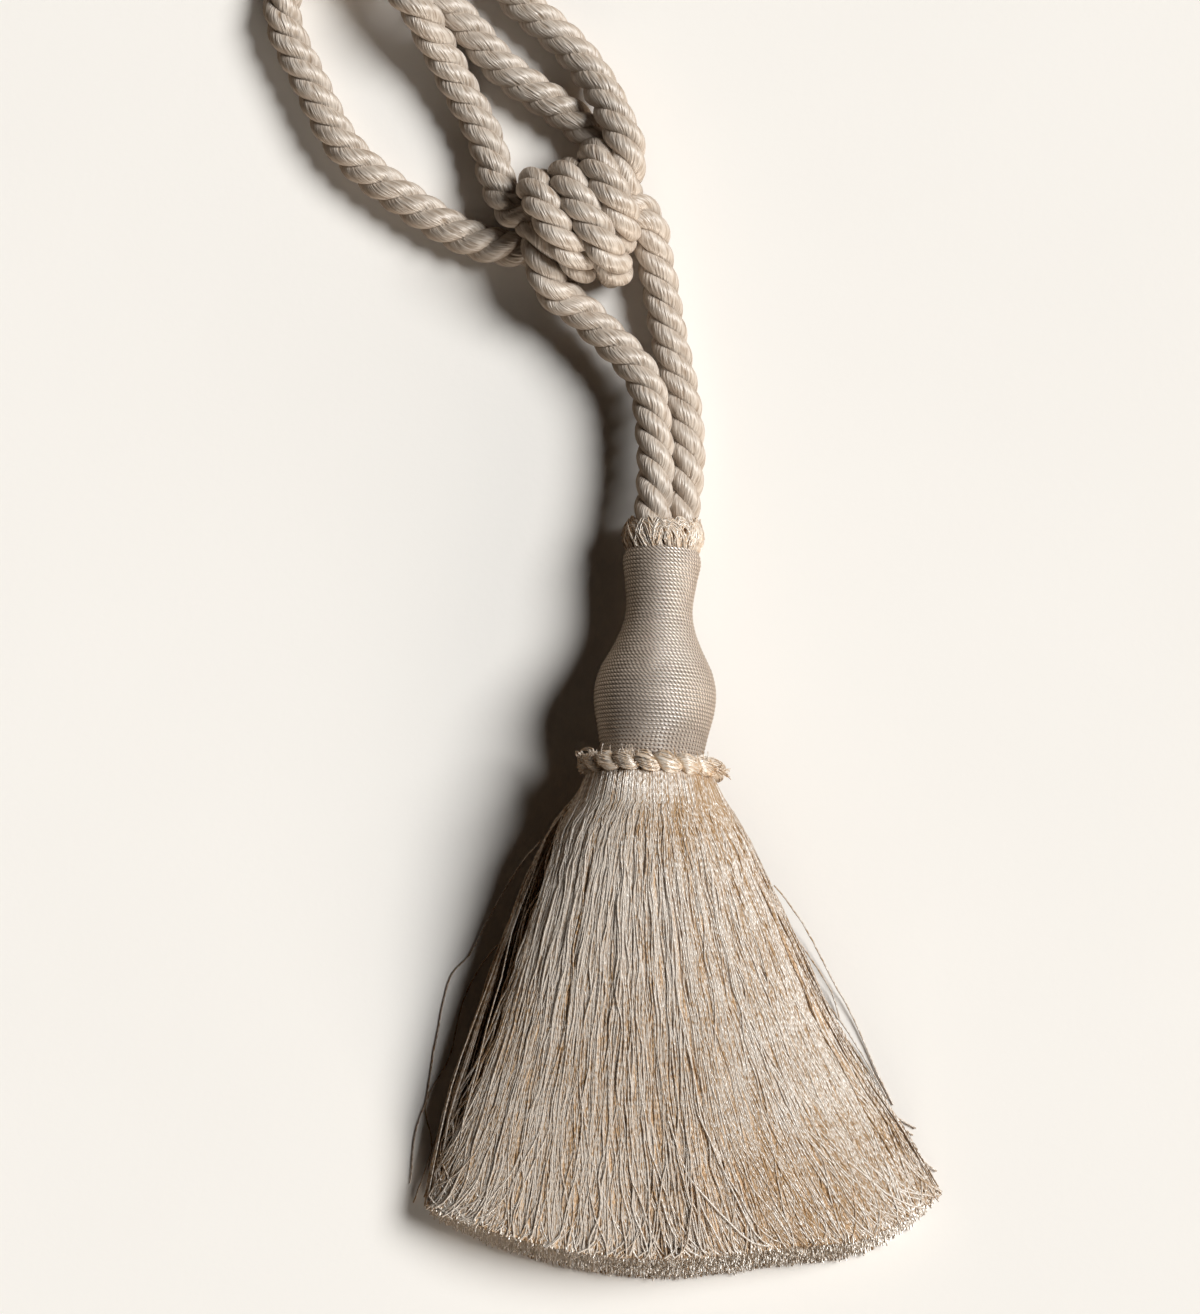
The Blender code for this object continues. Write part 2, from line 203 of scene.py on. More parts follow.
# %% The tree for a twisted rope


def twisted_cord_tree():
    tree, given, result = new_group("Twisted cord", "GeometryNodeTree", (
        ("Geometry", "NodeSocketGeometry", None), ("Plies", "NodeSocketInt", 3),
        ("Lay", "NodeSocketFloat", 0.02), ("Hand", "NodeSocketFloat", 1.0),
        ("Ply distance", "NodeSocketFloat", 0.5), ("Ply size", "NodeSocketFloat", 0.5),
        ("Sides", "NodeSocketInt", 12), ("Finish", "NodeSocketMaterial", None),
    ), (("Geometry", "NodeSocketGeometry"),))
    path = add(tree, "GeometryNodeMeshToCurve", {"Mesh": given["Geometry"]})
    plies = add(tree, "GeometryNodeDuplicateElements",
                {"Geometry": path.outputs[0], "Amount": given["Plies"]}, domain="SPLINE")
    along = add(tree, "GeometryNodeSplineParameter").outputs["Length"]
    turns = maths(tree, "MULTIPLY", maths(tree, "DIVIDE", along, given["Lay"]), given["Hand"])
    share = maths(tree, "DIVIDE", plies.outputs["Duplicate Index"], given["Plies"])
    angle = maths(tree, "MULTIPLY", maths(tree, "ADD", turns, share), 2 * math.pi)
    outward = add(tree, "ShaderNodeVectorRotate", {
        "Vector": named(tree, "across", "FLOAT_VECTOR"), "Angle": angle,
        "Axis": add(tree, "GeometryNodeInputTangent").outputs[0]}, rotation_type="AXIS_ANGLE")
    laid, outward = captured(tree, plies.outputs[0], "VECTOR", "outward", outward.outputs[0])
    laid, half = captured(tree, laid, "FLOAT", "half", named(tree, "girth", "FLOAT"))
    distance = maths(tree, "MULTIPLY", half, given["Ply distance"])
    step = add(tree, "ShaderNodeVectorMath", {0: outward, "Scale": distance}, operation="SCALE")
    moved = add(tree, "GeometryNodeSetPosition", {"Geometry": laid, "Offset": step.outputs[0]})
    inward = add(tree, "ShaderNodeVectorMath", {0: outward, "Scale": -1.0}, operation="SCALE")
    faced = add(tree, "GeometryNodeSetCurveNormal",
                {"Curve": moved.outputs[0], "Normal": inward.outputs[0]}, mode="FREE")
    sweep(tree, faced.outputs[0], maths(tree, "MULTIPLY", half, given["Ply size"]), given, result)
    return tree


CORD_TREE = twisted_cord_tree()

# %% [markdown]
# ### Plain yarn
# Cut yarn, floss, stray threads and the fine cord on the head are thin tubes along their own paths,
# with three to eight sides.

# %% The tree for plain yarn


def yarn_tree():
    tree, given, result = new_group("Plain yarn", "GeometryNodeTree", (
        ("Geometry", "NodeSocketGeometry", None), ("Sides", "NodeSocketInt", 3),
        ("Finish", "NodeSocketMaterial", None)), (("Geometry", "NodeSocketGeometry"),))
    path = add(tree, "GeometryNodeMeshToCurve", {"Mesh": given["Geometry"]})
    sweep(tree, path.outputs[0], named(tree, "girth", "FLOAT"), given, result)
    return tree


YARN_TREE = yarn_tree()

# %% [markdown]
# A path is a mesh of points and edges, because its points can carry attributes for the trees. This
# helper makes it, runs a tree on it, and keeps the result as a plain mesh.

# %% Paths in, plain meshes out


def path_mesh(name, points, breaks, **attributes):
    """A mesh of open lines (metres); breaks holds the first point of each line."""
    data = bpy.data.meshes.new(name)
    count = len(points)
    first = np.zeros(count, bool)
    first[breaks] = True
    ends = np.flatnonzero(~first)
    data.vertices.add(count)
    data.vertices.foreach_set("co", np.asarray(points, np.float32).ravel())
    data.edges.add(len(ends))
    data.edges.foreach_set("vertices", np.stack([ends - 1, ends], axis=1).astype(np.int32).ravel())
    for key, values in attributes.items():
        values = np.asarray(values, np.float32)
        kind = "FLOAT_VECTOR" if values.ndim == 2 else "FLOAT"
        layer = data.attributes.new(key, kind, "POINT")
        layer.data.foreach_set("vector" if values.ndim == 2 else "value", values.ravel())
    data.update()
    return linked(name, data)


def counted(name, data):
    """A piece that shows a finished mesh, with the number of its triangles printed."""
    print(name, "has", sum(len(face.vertices) - 2 for face in data.polygons), "triangles")
    return linked(name, data)


def grown(source, tree, **inputs):
    """Run a tree on an object and return the result as a plain mesh object of the same name."""
    name = source.name
    modifier = source.modifiers.new("grow", "NODES")
    modifier.node_group = tree
    sockets = {item.name: item.identifier for item in tree.interface.items_tree if item.in_out == "INPUT"}
    for label, value in inputs.items():
        modifier[sockets[label.replace("_", " ")]] = value
    shown = source.evaluated_get(bpy.context.evaluated_depsgraph_get())
    data = bpy.data.meshes.new_from_object(shown)
    bpy.data.objects.remove(source)
    data.name = name
    return counted(name, data)


def ride_and_replace(piece, slot, *nodes):
    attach(piece, "root")
    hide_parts(*nodes)


# %% [markdown]
# ## Silk
# The cords and yarns are of bright, artificial silk. A picture of silk would blur in a close view, so
# the finish is reckoned from noise and waves. First come a few helpers that every material uses, and
# a shader group for the soft clouds of lighter and deeper tone that all silk has.

# %% Helpers for materials, and clouds of tone


def new_material(name):
    made = bpy.data.materials.new(name)
    made.use_nodes = True
    return made, made.node_tree, made.node_tree.nodes["Principled BSDF"]


def tube_place(tree):
    """The UV map's two parts: X round a tube from 0 to 1, and Y along it in metres."""
    place = add(tree, "ShaderNodeUVMap", uv_map="UVMap").outputs[0]
    return add(tree, "ShaderNodeSeparateXYZ", {0: place}).outputs


def object_place(tree):
    return add(tree, "ShaderNodeTexCoord").outputs["Object"]


def attribute(tree, name):
    return add(tree, "ShaderNodeAttribute", attribute_name=name).outputs["Fac"]


def upright(tree):
    """How much the surface faces up, from -1 to 1."""
    normal = add(tree, "ShaderNodeNewGeometry").outputs["Normal"]
    return add(tree, "ShaderNodeSeparateXYZ", {0: normal}).outputs["Z"]


def ranged(tree, value, start, end, low, high, kind="LINEAR"):
    """A value carried over from the range start to end to the range low to high, and held there."""
    return add(tree, "ShaderNodeMapRange", {
        "Value": value, "From Min": start, "From Max": end, "To Min": low, "To Max": high},
        interpolation_type=kind).outputs[0]


def mixed(tree, shade, light, deep):
    """A colour between light, at shade 0, and deep, at shade 1."""
    inputs = {0: shade, 6: (*light, 1), 7: (*deep, 1)}
    return add(tree, "ShaderNodeMix", inputs, data_type="RGBA").outputs[2]


def noise(tree, place, scale, detail):
    inputs = {"Vector": place, "Scale": scale, "Detail": detail}
    return add(tree, "ShaderNodeTexNoise", inputs).outputs["Fac"]


def bumped(tree, height, strength, distance):
    """A normal with relief on it, at most distance (m) deep."""
    inputs = {"Height": height, "Strength": strength, "Distance": distance}
    return add(tree, "ShaderNodeBump", inputs).outputs[0]


def cloud_group():
    tree, given, result = new_group("Clouds of tone", "ShaderNodeTree", (
        ("Place", "NodeSocketVector", None), ("Scale", "NodeSocketFloat", 100.0),
        ("Detail", "NodeSocketFloat", 2.0), ("Amount", "NodeSocketFloat", 0.5),
        ("Offset", "NodeSocketFloat", 0.0),
    ), (("Tone", "NodeSocketFloat"),))
    clouds = noise(tree, given["Place"], given["Scale"], given["Detail"])
    tree.links.new(maths(tree, "MULTIPLY_ADD", clouds, given["Amount"], given["Offset"]), result["Tone"])
    return tree


CLOUDS = cloud_group()


def clouded(tree, shade, scale, detail, amount, offset):
    """A shade with clouds of tone added to it."""
    clouds = add(tree, "ShaderNodeGroup", {
        "Place": object_place(tree), "Scale": scale, "Detail": detail, "Amount": amount,
        "Offset": offset}, node_tree=CLOUDS)
    return maths(tree, "ADD", shade, clouds.outputs["Tone"])


print("clouds of tone come from the group", CLOUDS.name)

# %% [markdown]
# Filaments of silk are finer than anything we could model, so a second group draws them: noise that
# is stretched along the filaments gives streaks for the colour and a height for the bump. In a ply
# they run askew, because the ply itself is twisted.

# %% Filaments, as a shader group
GLOSS = 1.75  # refraction: silk shines more than plain fibre
PLY_ROUND = 0.018  # m of filaments round a ply
BRUSHED = 0.75  # how much the filaments stretch a highlight


def filament_group():
    tree, given, result = new_group("Silk filaments", "ShaderNodeTree", (
        ("Round", "NodeSocketFloat", 0.0), ("Run", "NodeSocketFloat", 0.0),
        ("Slant", "NodeSocketFloat", 0.7), ("Width", "NodeSocketFloat", 0.0004),
    ), (("Streak", "NodeSocketFloat"), ("Height", "NodeSocketFloat")))
    cosine, sine = maths(tree, "COSINE", given["Slant"]), maths(tree, "SINE", given["Slant"])
    over = maths(tree, "ADD", maths(tree, "MULTIPLY", given["Round"], cosine),
                 maths(tree, "MULTIPLY", given["Run"], sine))
    lengthwise = maths(tree, "SUBTRACT", maths(tree, "MULTIPLY", given["Run"], cosine),
                       maths(tree, "MULTIPLY", given["Round"], sine))
    over = maths(tree, "DIVIDE", over, given["Width"])
    lengthwise = maths(tree, "DIVIDE", lengthwise, given["Width"])

    def streaks(broad, long, seed):
        place = add(tree, "ShaderNodeCombineXYZ", {
            "X": maths(tree, "DIVIDE", over, broad), "Y": maths(tree, "DIVIDE", lengthwise, long),
            "Z": seed})
        return noise(tree, place.outputs[0], 1.0, 1.0)

    fine, broad = streaks(1.0, 12.0, 0.0), streaks(2.6, 26.0, 7.0)
    both = maths(tree, "ADD", maths(tree, "MULTIPLY", fine, 0.6), maths(tree, "MULTIPLY", broad, 0.4))
    tree.links.new(maths(tree, "MULTIPLY_ADD", both, 5.0, -2.0), result["Streak"])
    tree.links.new(both, result["Height"])
    return tree


SILK = filament_group()


def silk_material(name, light, deep, groove, slant, width, roughness, crown=None, streaky=0.7, shine=1.0):
    """Twisted silk: light on the crown of a ply, with painted shade, deep and warm, in the grooves between
    plies.

    The groove is where the painted shade begins and ends, on the way from the crown to the seam, or
    of the attribute that is named as crown. Filaments lie at a slant (radians) and have a width (m)."""
    made, tree, shader = new_material(name)
    place = tube_place(tree)
    filaments = add(tree, "ShaderNodeGroup", {
        "Round": maths(tree, "MULTIPLY", place["X"], PLY_ROUND), "Run": place["Y"],
        "Slant": slant, "Width": width}, node_tree=SILK)
    streak = filaments.outputs["Streak"]
    off_crown = maths(tree, "ABSOLUTE", maths(tree, "SUBTRACT", place["X"], 0.5))
    if crown:
        off_crown = attribute(tree, crown)
    # Painted shade: the grooves between plies are painted deep and warm.
    groove_shade = ranged(tree, off_crown, *groove, 0.0, 0.85, "SMOOTHSTEP")
    shade = maths(tree, "MULTIPLY_ADD", streak, -streaky, streaky * 0.83)
    shade = clouded(tree, shade, scale=160.0, detail=2.0, amount=0.3, offset=-0.12)
    shade = maths(tree, "MAXIMUM", shade, groove_shade)
    across = add(tree, "ShaderNodeTangent", direction_type="UV_MAP", uv_map="UVMap")
    fill(tree, shader, {
        "Base Color": mixed(tree, shade, light, deep),
        "Roughness": maths(tree, "MULTIPLY_ADD", streak, 0.12, roughness - 0.06),
        "Normal": bumped(tree, filaments.outputs["Height"], 1.0, width * 2),
        "Tangent": across.outputs[0], "Anisotropic": BRUSHED,
        "Anisotropic Rotation": (slant / (2 * math.pi)) % 1.0,
        "Specular IOR Level": shine, "IOR": GLOSS})
    return made


# The rope's deep colour is painted shade for its grooves, and also deepens its streaks.
ROPE_SILK = silk_material("rope_silk", (0.625, 0.55, 0.475), (0.21, 0.125, 0.06), (0.17, 0.30),
                          slant=-0.98, width=0.00042, roughness=0.45, streaky=0.55, shine=0.65)
print("silk materials share the group", SILK.name)

# %% [markdown]
# ## The rope
# The rope is one piece: it leaves the head on the right, makes the right loop, wraps three times
# round itself in the knot, makes the left loop and returns to the head. A simulation could tie such
# a knot, but it would hardly come to rest in just these bends, so the route is a list of given
# points, joined by a smooth curve.

# %% The rope's route
GAP = 0.35  # mm kept free where the rope passes itself
CORD_D, CORD_D_KNOT = 11.0, 9.5  # mm, free and squeezed in the knot
KNOT_CENTRE = (-26.7, 203.4, 14.0)
KNOT_SQUEEZED_TO, KNOT_FREE_FROM = 17.0, 29.0  # mm from the knot's centre
STEP, EASE_ROUNDS = 2.5, 600  # mm between points; rounds of easing
NEIGHBOURS = 1.9  # girths along the rope within which it may touch itself
PUSH, SMOOTHING, PULL_BACK = 0.5, 0.05, 0.02  # the share of each that one round takes
RING_CENTRE = (-9.2, 38.4, 21.8)  # mm, where the head's frame begins
HEAD_LEAN, HEAD_DIP = math.radians(3.0), math.radians(7.5)
RUFF_TOP = 74.0  # mm along the head's axis
CORD_ENDS = {"right": (4.8, -4.1), "left": (-3.4, 4.2)}  # mm across and above the head's axis
ROUTE_RIGHT = (
    (1.3, 125.2, 7.0), (1.7, 135.1, 6.2), (0.8, 145.6, 6.0), (-1.6, 157.6, 6.0), (-4.5, 171.0, 6.0),
    (-6.3, 182.9, 6.5), (-9.0, 193.8, 8.0), (-12.7, 200.1, 11.0), (-16.5, 205.3, 13.5),
    (-19.0, 209.3, 15.0), (-18.1, 215.1, 16.0), (-17.5, 222.2, 16.5), (-19.8, 231.8, 15.0),
    (-24.3, 241.9, 10.0), (-30.3, 251.0, 6.5), (-38.6, 259.5, 5.5), (-48.2, 267.3, 5.5),
    (-54.2, 274.2, 5.5), (-57.8, 282.5, 5.5), (-61.4, 290.6, 5.5), (-68.5, 295.1, 5.5),
    (-75.7, 292.7, 5.5), (-79.0, 285.5, 5.5), (-77.8, 276.5, 5.5), (-71.2, 266.4, 5.5),
    (-61.7, 257.7, 5.5), (-55.1, 249.1, 5.5), (-46.4, 242.5, 5.5), (-37.4, 236.5, 5.5),
    (-31.0, 232.0, 5.5), (-26.6, 228.2, 5.5),
)
ROUTE_KNOT = (
    (-23.4, 224.2, 6.8), (-23.2, 220.9, 11.5), (-25.3, 219.2, 17.5), (-25.6, 216.2, 22.0),
    (-23.4, 211.0, 24.8), (-20.8, 205.6, 25.0), (-18.3, 201.4, 22.5), (-16.6, 197.8, 16.0),
    (-17.2, 195.8, 9.0), (-20.2, 196.7, 5.0), (-24.3, 201.2, 4.9), (-29.7, 207.3, 4.9),
    (-33.6, 211.8, 6.0), (-35.4, 215.2, 11.0), (-35.6, 215.3, 18.0), (-33.6, 211.6, 23.5),
    (-30.2, 205.9, 25.0), (-26.1, 198.8, 25.0), (-22.5, 192.4, 24.0), (-19.8, 188.6, 19.0),
    (-18.8, 186.8, 12.0), (-20.8, 188.0, 6.0), (-25.4, 192.9, 4.9), (-31.2, 199.0, 4.9),
    (-37.5, 205.8, 4.9), (-41.8, 210.0, 6.5), (-43.7, 212.9, 12.0), (-43.5, 211.6, 19.0),
    (-41.1, 207.3, 24.3), (-37.3, 200.9, 25.0), (-33.4, 194.2, 24.0), (-29.9, 189.3, 19.0),
    (-28.5, 187.3, 12.0), (-31.8, 188.0, 6.0),
)
ROUTE_LEFT = (
    (-37.5, 191.1, 5.0), (-43.7, 194.4, 5.2), (-52.1, 193.8, 5.5), (-61.7, 195.9, 5.5),
    (-72.1, 201.5, 5.5), (-84.4, 209.9, 5.5), (-94.8, 217.7, 5.5), (-102.6, 226.3, 5.5),
    (-107.4, 235.9, 5.5), (-112.2, 246.4, 5.5), (-117.2, 255.9, 5.5), (-120.2, 265.2, 5.5),
    (-118.7, 272.4, 5.5), (-111.6, 278.9, 5.5), (-101.4, 280.7, 6.0), (-92.3, 277.8, 9.0),
    (-84.6, 272.3, 14.0), (-80.1, 267.3, 16.0), (-76.6, 263.0, 14.5), (-74.0, 257.6, 11.0),
    (-71.1, 251.7, 8.0), (-65.5, 240.3, 6.0), (-59.6, 229.9, 5.5), (-56.9, 222.4, 6.0),
    (-55.0, 212.7, 7.5), (-50.5, 206.5, 10.0), (-45.1, 203.5, 13.0), (-41.8, 199.8, 15.0),
    (-42.4, 194.0, 16.0), (-41.2, 187.3, 14.5), (-35.9, 181.9, 12.0), (-30.3, 175.7, 11.0),
    (-24.3, 169.2, 11.0), (-17.8, 163.2, 12.0), (-11.4, 155.9, 12.6), (-9.1, 149.0, 12.9),
    (-8.2, 136.8, 13.6), (-7.5, 128.5, 14.2), (-8.2, 121.3, 15.2),
)

# %% The head's frame, and lines


def head_frame():
    """The head's frame in metres: Z along its axis to the rope, X across, -Y up."""
    axis = Vector((math.sin(HEAD_LEAN), math.cos(HEAD_LEAN) * math.cos(HEAD_DIP), -math.sin(HEAD_DIP)))
    axis.normalize()
    across = (Vector((1, 0, 0)) - axis * axis.x).normalized()
    turn = Matrix((across, axis.cross(across), axis)).transposed().to_4x4()
    return Matrix.Translation(Vector(RING_CENTRE) * MM) @ turn


HEAD = np.array(head_frame())


def on_head(across, up, along):
    """Points given in the head's frame in mm (numbers or arrays), as world mm."""
    local = np.stack(np.broadcast_arrays(across, -np.asarray(up, float), along), axis=-1)
    return local @ HEAD[:3, :3].T + HEAD[:3, 3] / MM


def girths(points):
    """The rope's diameter at each point: thinner inside the knot."""
    away = np.linalg.norm((points - np.array(KNOT_CENTRE)) * (1, 1, 0.7), axis=1)
    free = np.clip((away - KNOT_SQUEEZED_TO) / (KNOT_FREE_FROM - KNOT_SQUEEZED_TO), 0, 1)
    return CORD_D_KNOT + (CORD_D - CORD_D_KNOT) * free * free * (3 - 2 * free)


def run_along(points):
    """How far along a line each of its points lies."""
    return np.concatenate([[0], np.cumsum(np.linalg.norm(np.diff(points, axis=0), axis=1))])


def evenly(points, step):
    """The same line with its points a step apart."""
    length = run_along(points)
    places = np.linspace(0, length[-1], int(round(length[-1] / step)) + 1)
    return np.stack([np.interp(places, length, points[:, k]) for k in range(3)], axis=1)


def curve_through(route, step):
    """A smooth curve through the route's points, read evenly."""
    route = np.array(route, float)
    time = np.concatenate([[0], np.cumsum(np.linalg.norm(np.diff(route, axis=0), axis=1) ** 0.5)])
    slope = np.diff(route, axis=0) / np.diff(time)[:, None]
    share = (np.diff(time)[1:] / (time[2:] - time[:-2]))[:, None]
    tangent = np.vstack([slope[:1], slope[:-1] * share + slope[1:] * (1 - share), slope[-1:]])
    points = []
    for start, end, leave, arrive, span in zip(route, route[1:], tangent, tangent[1:], np.diff(time)):
        for t in np.linspace(0, 1, 40, endpoint=False):
            points.append((2 * t ** 3 - 3 * t ** 2 + 1) * start + (t ** 3 - 2 * t ** 2 + t) * span * leave
                          + (3 * t ** 2 - 2 * t ** 3) * end + (t ** 3 - t ** 2) * span * arrive)
    return evenly(np.array(points + [route[-1]]), step)


print("the route has", len(ROUTE_RIGHT + ROUTE_KNOT + ROUTE_LEFT), "points")

# %% [markdown]
# Then the rope is eased: wherever it would pass through itself it is pushed apart, a little at a
# time, as a real knot settles when it is tightened.

# %% The rope settles


def eased(points):
    """Let the rope settle: where it would pass through itself it is pushed apart, and it stays smooth."""
    laid, points = points, points.copy()
    order = np.arange(len(points))
    apart = np.abs(order[:, None] - order[None]) * STEP
    for _ in range(EASE_ROUNDS):
        girth = girths(points)
        between = points[:, None] - points[None]
        distance = np.linalg.norm(between, axis=2) + 1e-9
        need = (girth[:, None] + girth[None]) / 2 + GAP
        short = np.where((apart > NEIGHBOURS * need) & (distance < need), need - distance, 0)
        push = ((short / distance)[..., None] * between).sum(axis=1)
        points += PUSH * push / np.maximum((short > 0).sum(axis=1), 1)[:, None]
        points[1:-1] += SMOOTHING * (points[:-2] + points[2:] - 2 * points[1:-1])
        points += PULL_BACK * (laid - points)
        points[:, 2] = np.maximum(points[:, 2], girth / 2 + 0.02)
        points[:2], points[-2:] = laid[:2], laid[-2:]
    return points


def rope_line():
    """The settled route in mm, from one end in the head to the other."""
    ends = [[tuple(on_head(*CORD_ENDS[side], RUFF_TOP + along)) for along in (-3.5, 4.0)]
            for side in ("right", "left")]
    return eased(curve_through([*ends[0], *ROUTE_RIGHT, *ROUTE_KNOT, *ROUTE_LEFT, *ends[1][::-1]], STEP))


def across_line(points):
    """A unit vector across a line at each of its points, carried along it without any twist."""
    tangent = np.gradient(points, axis=0)
    tangent /= np.linalg.norm(tangent, axis=1)[:, None]
    across = np.empty_like(tangent)
    held = np.array((0.0, 0.0, 1.0))
    for i, along in enumerate(tangent):
        held = held - along * (held @ along)
        held /= np.linalg.norm(held)
        across[i] = held
    return across


ROPE = rope_line()

# %% [markdown]
# Three plies, laid to the left, turn once in every 22.5 mm of rope.

# %% The rope
ROPE_LAY, ROPE_STEP = 0.0225, 0.8  # m for one turn; mm between points
PLY_DISTANCE, PLY_SIZE = 0.49, 0.51  # from the rope's middle, and half a ply's girth, in half girths
FULLNESS, KNOT_FULLNESS = 0.5, 1.9  # mm, so that wraps press into each other


def make_rope():
    line = curve_through(ROPE, ROPE_STEP)
    girth = girths(line)
    girth = girth + np.interp(girth, (CORD_D_KNOT, CORD_D), (KNOT_FULLNESS, FULLNESS))
    line[:, 2] = np.maximum(line[:, 2], girth / 2 + 0.05)
    source = path_mesh("rope", line * MM, [0], across=across_line(line), girth=girth / 2 * MM)
    rope = grown(source, CORD_TREE, Plies=3, Lay=ROPE_LAY, Hand=-1.0, Ply_distance=PLY_DISTANCE,
                 Ply_size=PLY_SIZE, Sides=16, Finish=ROPE_SILK)
    ride_and_replace(rope, "rope", "cord_right_loop", "cord_knot", "cord_left_loop")
    return rope


rope = make_rope()

# %% [markdown]
# ## The surface
# The camera sees bright paper. The light that the paper throws back on the tassel is taken weaker
# and warmer than that, with the Light Path node, so that undersides and gaps stay deep and brown.

# %% Floor
FLOOR_HALF = 20.0  # m, so large that its rim is never in view
PAPER_LIGHT, PAPER_DEEP = (0.97, 0.955, 0.93), (0.93, 0.915, 0.89)
PAPER_THROWN_BACK = (0.54, 0.43, 0.33)


def paper_material():
    made, tree, shader = new_material("paper")
    place = object_place(tree)
    white = mixed(tree, noise(tree, place, 9.0, 3.0), PAPER_DEEP, PAPER_LIGHT)
    seen = add(tree, "ShaderNodeLightPath").outputs["Is Camera Ray"]
    inputs = {0: seen, 6: (*PAPER_THROWN_BACK, 1), 7: white}
    paper = add(tree, "ShaderNodeMix", inputs, data_type="RGBA")
    grain = bumped(tree, noise(tree, place, 420.0, 3.0), 0.06, 0.0006)
    fill(tree, shader, {"Base Color": paper.outputs[2], "Normal": grain, "Roughness": 0.8})
    return made


def make_floor():
    data = bpy.data.meshes.new("floor")
    sides = ((-1, -1), (1, -1), (1, 1), (-1, 1))
    corners = [(across * FLOOR_HALF, away * FLOOR_HALF, 0) for across, away in sides]
    data.from_pydata(corners, [], [(0, 1, 2, 3)])
    data.materials.append(paper_material())
    linked("floor", data)
    print("the surface is", 2 * FLOOR_HALF, "m wide")


make_floor()

# %% [markdown]
# ## The wound head
# The head is a turned mould, mostly of wood, with fine cord wound on it. Its outline is a short table of
# lengths along the axis and radii, read on a smooth curve, and rings of points are skinned into a
# closed mesh.

# %% The head's outline
HEAD_OUTLINE = (  # mm: along the axis from the ring, radius
    (3.1, 14.4), (4.0, 15.1), (10.5, 16.3), (18.0, 17.9), (24.0, 18.1), (29.1, 16.9),
    (32.1, 15.5), (36.3, 13.3), (40.8, 11.4), (45.3, 10.2), (49.8, 10.0), (57.0, 10.9),
    (61.5, 11.7), (64.3, 11.3), (66.1, 10.1), (66.9, 8.4),
)


def read_rows(rows, at):
    """A table's rows joined by a smooth curve and read at 0 to 1; at may be an array."""
    table = np.array(rows, float)
    place = np.clip(np.asarray(at, float), 0, 0.9999) * (len(table) - 1)
    i = place.astype(int)
    t = (place - i)[..., None]
    before, here = table[np.maximum(i - 1, 0)], table[i]
    after, beyond = table[i + 1], table[np.minimum(i + 2, len(table) - 1)]
    return 0.5 * (2 * here + (after - before) * t
                  + (2 * before - 5 * here + 4 * after - beyond) * t ** 2
                  + (3 * here - before - 3 * after + beyond) * t ** 3)


def skinned(name, rings, finish):
    """Closed rings of points (metres) skinned into one closed mesh."""
    rings = np.asarray(rings)
    count, sides = rings.shape[:2]
    hubs = np.stack([rings[0].mean(axis=0), rings[-1].mean(axis=0)])
    points = np.vstack([rings.reshape(-1, 3), hubs])
    faces = []
    for i in range(count - 1):
        for k in range(sides):
            n = (k + 1) % sides
            faces.append((i * sides + k, i * sides + n, (i + 1) * sides + n, (i + 1) * sides + k))
    last = (count - 1) * sides
    for k in range(sides):
        n = (k + 1) % sides
        faces.append((n, k, count * sides))
        faces.append((last + k, last + n, count * sides + 1))
    data = bpy.data.meshes.new(name)
    data.from_pydata(points.tolist(), [], faces)
    data.validate()
    data.shade_smooth()
    data.materials.append(finish)
    return counted(name, data)


def around_head(angle, radius, along):
    """World mm of a point on a turned surface of the head; angles run from +X towards the top."""
    return on_head(radius * np.cos(angle), radius * np.sin(angle), along)


print("the head is", HEAD_OUTLINE[-1][0], "mm tall over the ring's middle")

# %% [markdown]
# One three-ply cord is wound on the mould from foot to top, in nearly sixty rows. A bump map could
# draw the rows, but their round tops catch the light and shade each other, so the cord is a real
# helix. It is so thin that the twist of its plies can be relief on a plain tube, with painted shade
# in the grooves between the plies.

# %% Mould and winding
ROW_PITCH, WINDING_RADIUS = 1.17, 0.66  # mm
WINDING_STEP = 1.1  # mm between points of the winding
# The deep colour is painted shade in the plies' grooves, and also the deep patches of tone.
WINDING_LIGHT, WINDING_DEEP_AND_GROOVE_SHADE = (0.745, 0.65, 0.565), (0.11, 0.062, 0.034)
WINDING_PLIES, WINDING_GLOSS = 3.0, 1.9  # the second is refraction
WINDING_LAY, WINDING_RELIEF = 0.00372, 0.00022  # m for one turn; m that its grooves are deep
MOULD_INSET = 1.0  # mm that the mould lies inside the rows


def winding_material():
    made, tree, shader = new_material("winding_silk")
    place = tube_place(tree)
    turns = maths(tree, "SUBTRACT", place["X"], maths(tree, "DIVIDE", place["Y"], WINDING_LAY))
    off_crown = maths(tree, "PINGPONG", maths(tree, "MULTIPLY", turns, WINDING_PLIES), 0.5)
    off_crown = maths(tree, "MULTIPLY", off_crown, 2.0)
    round_off = maths(tree, "MULTIPLY", off_crown, off_crown)
    height = maths(tree, "SQRT", maths(tree, "MULTIPLY_ADD", round_off, -0.9, 1.0))
    # Painted shade: the grooves between the cord's plies are painted deep.
    shade = ranged(tree, off_crown, 0.30, 0.90, 0.0, 1.0, "SMOOTHSTEP")
    shade = clouded(tree, shade, scale=300.0, detail=3.0, amount=0.5, offset=-0.2)
    fill(tree, shader, {
        "Base Color": mixed(tree, shade, WINDING_LIGHT, WINDING_DEEP_AND_GROOVE_SHADE),
        "Normal": bumped(tree, height, 1.0, WINDING_RELIEF),
        "Specular IOR Level": ranged(tree, upright(tree), 0.0, 0.2, 0.3, 1.0),
        "Roughness": 0.28, "IOR": WINDING_GLOSS})
    return made


def make_mould(finish):
    outline = read_rows(HEAD_OUTLINE, np.linspace(0, 1, 40))
    angles = np.linspace(0, 2 * math.pi, 40, endpoint=False)
    rings = [around_head(angles, radius - MOULD_INSET, along) * MM for along, radius in outline]
    ride_and_replace(skinned("head_mould", rings, finish), "wound_cord", "tassel_head")


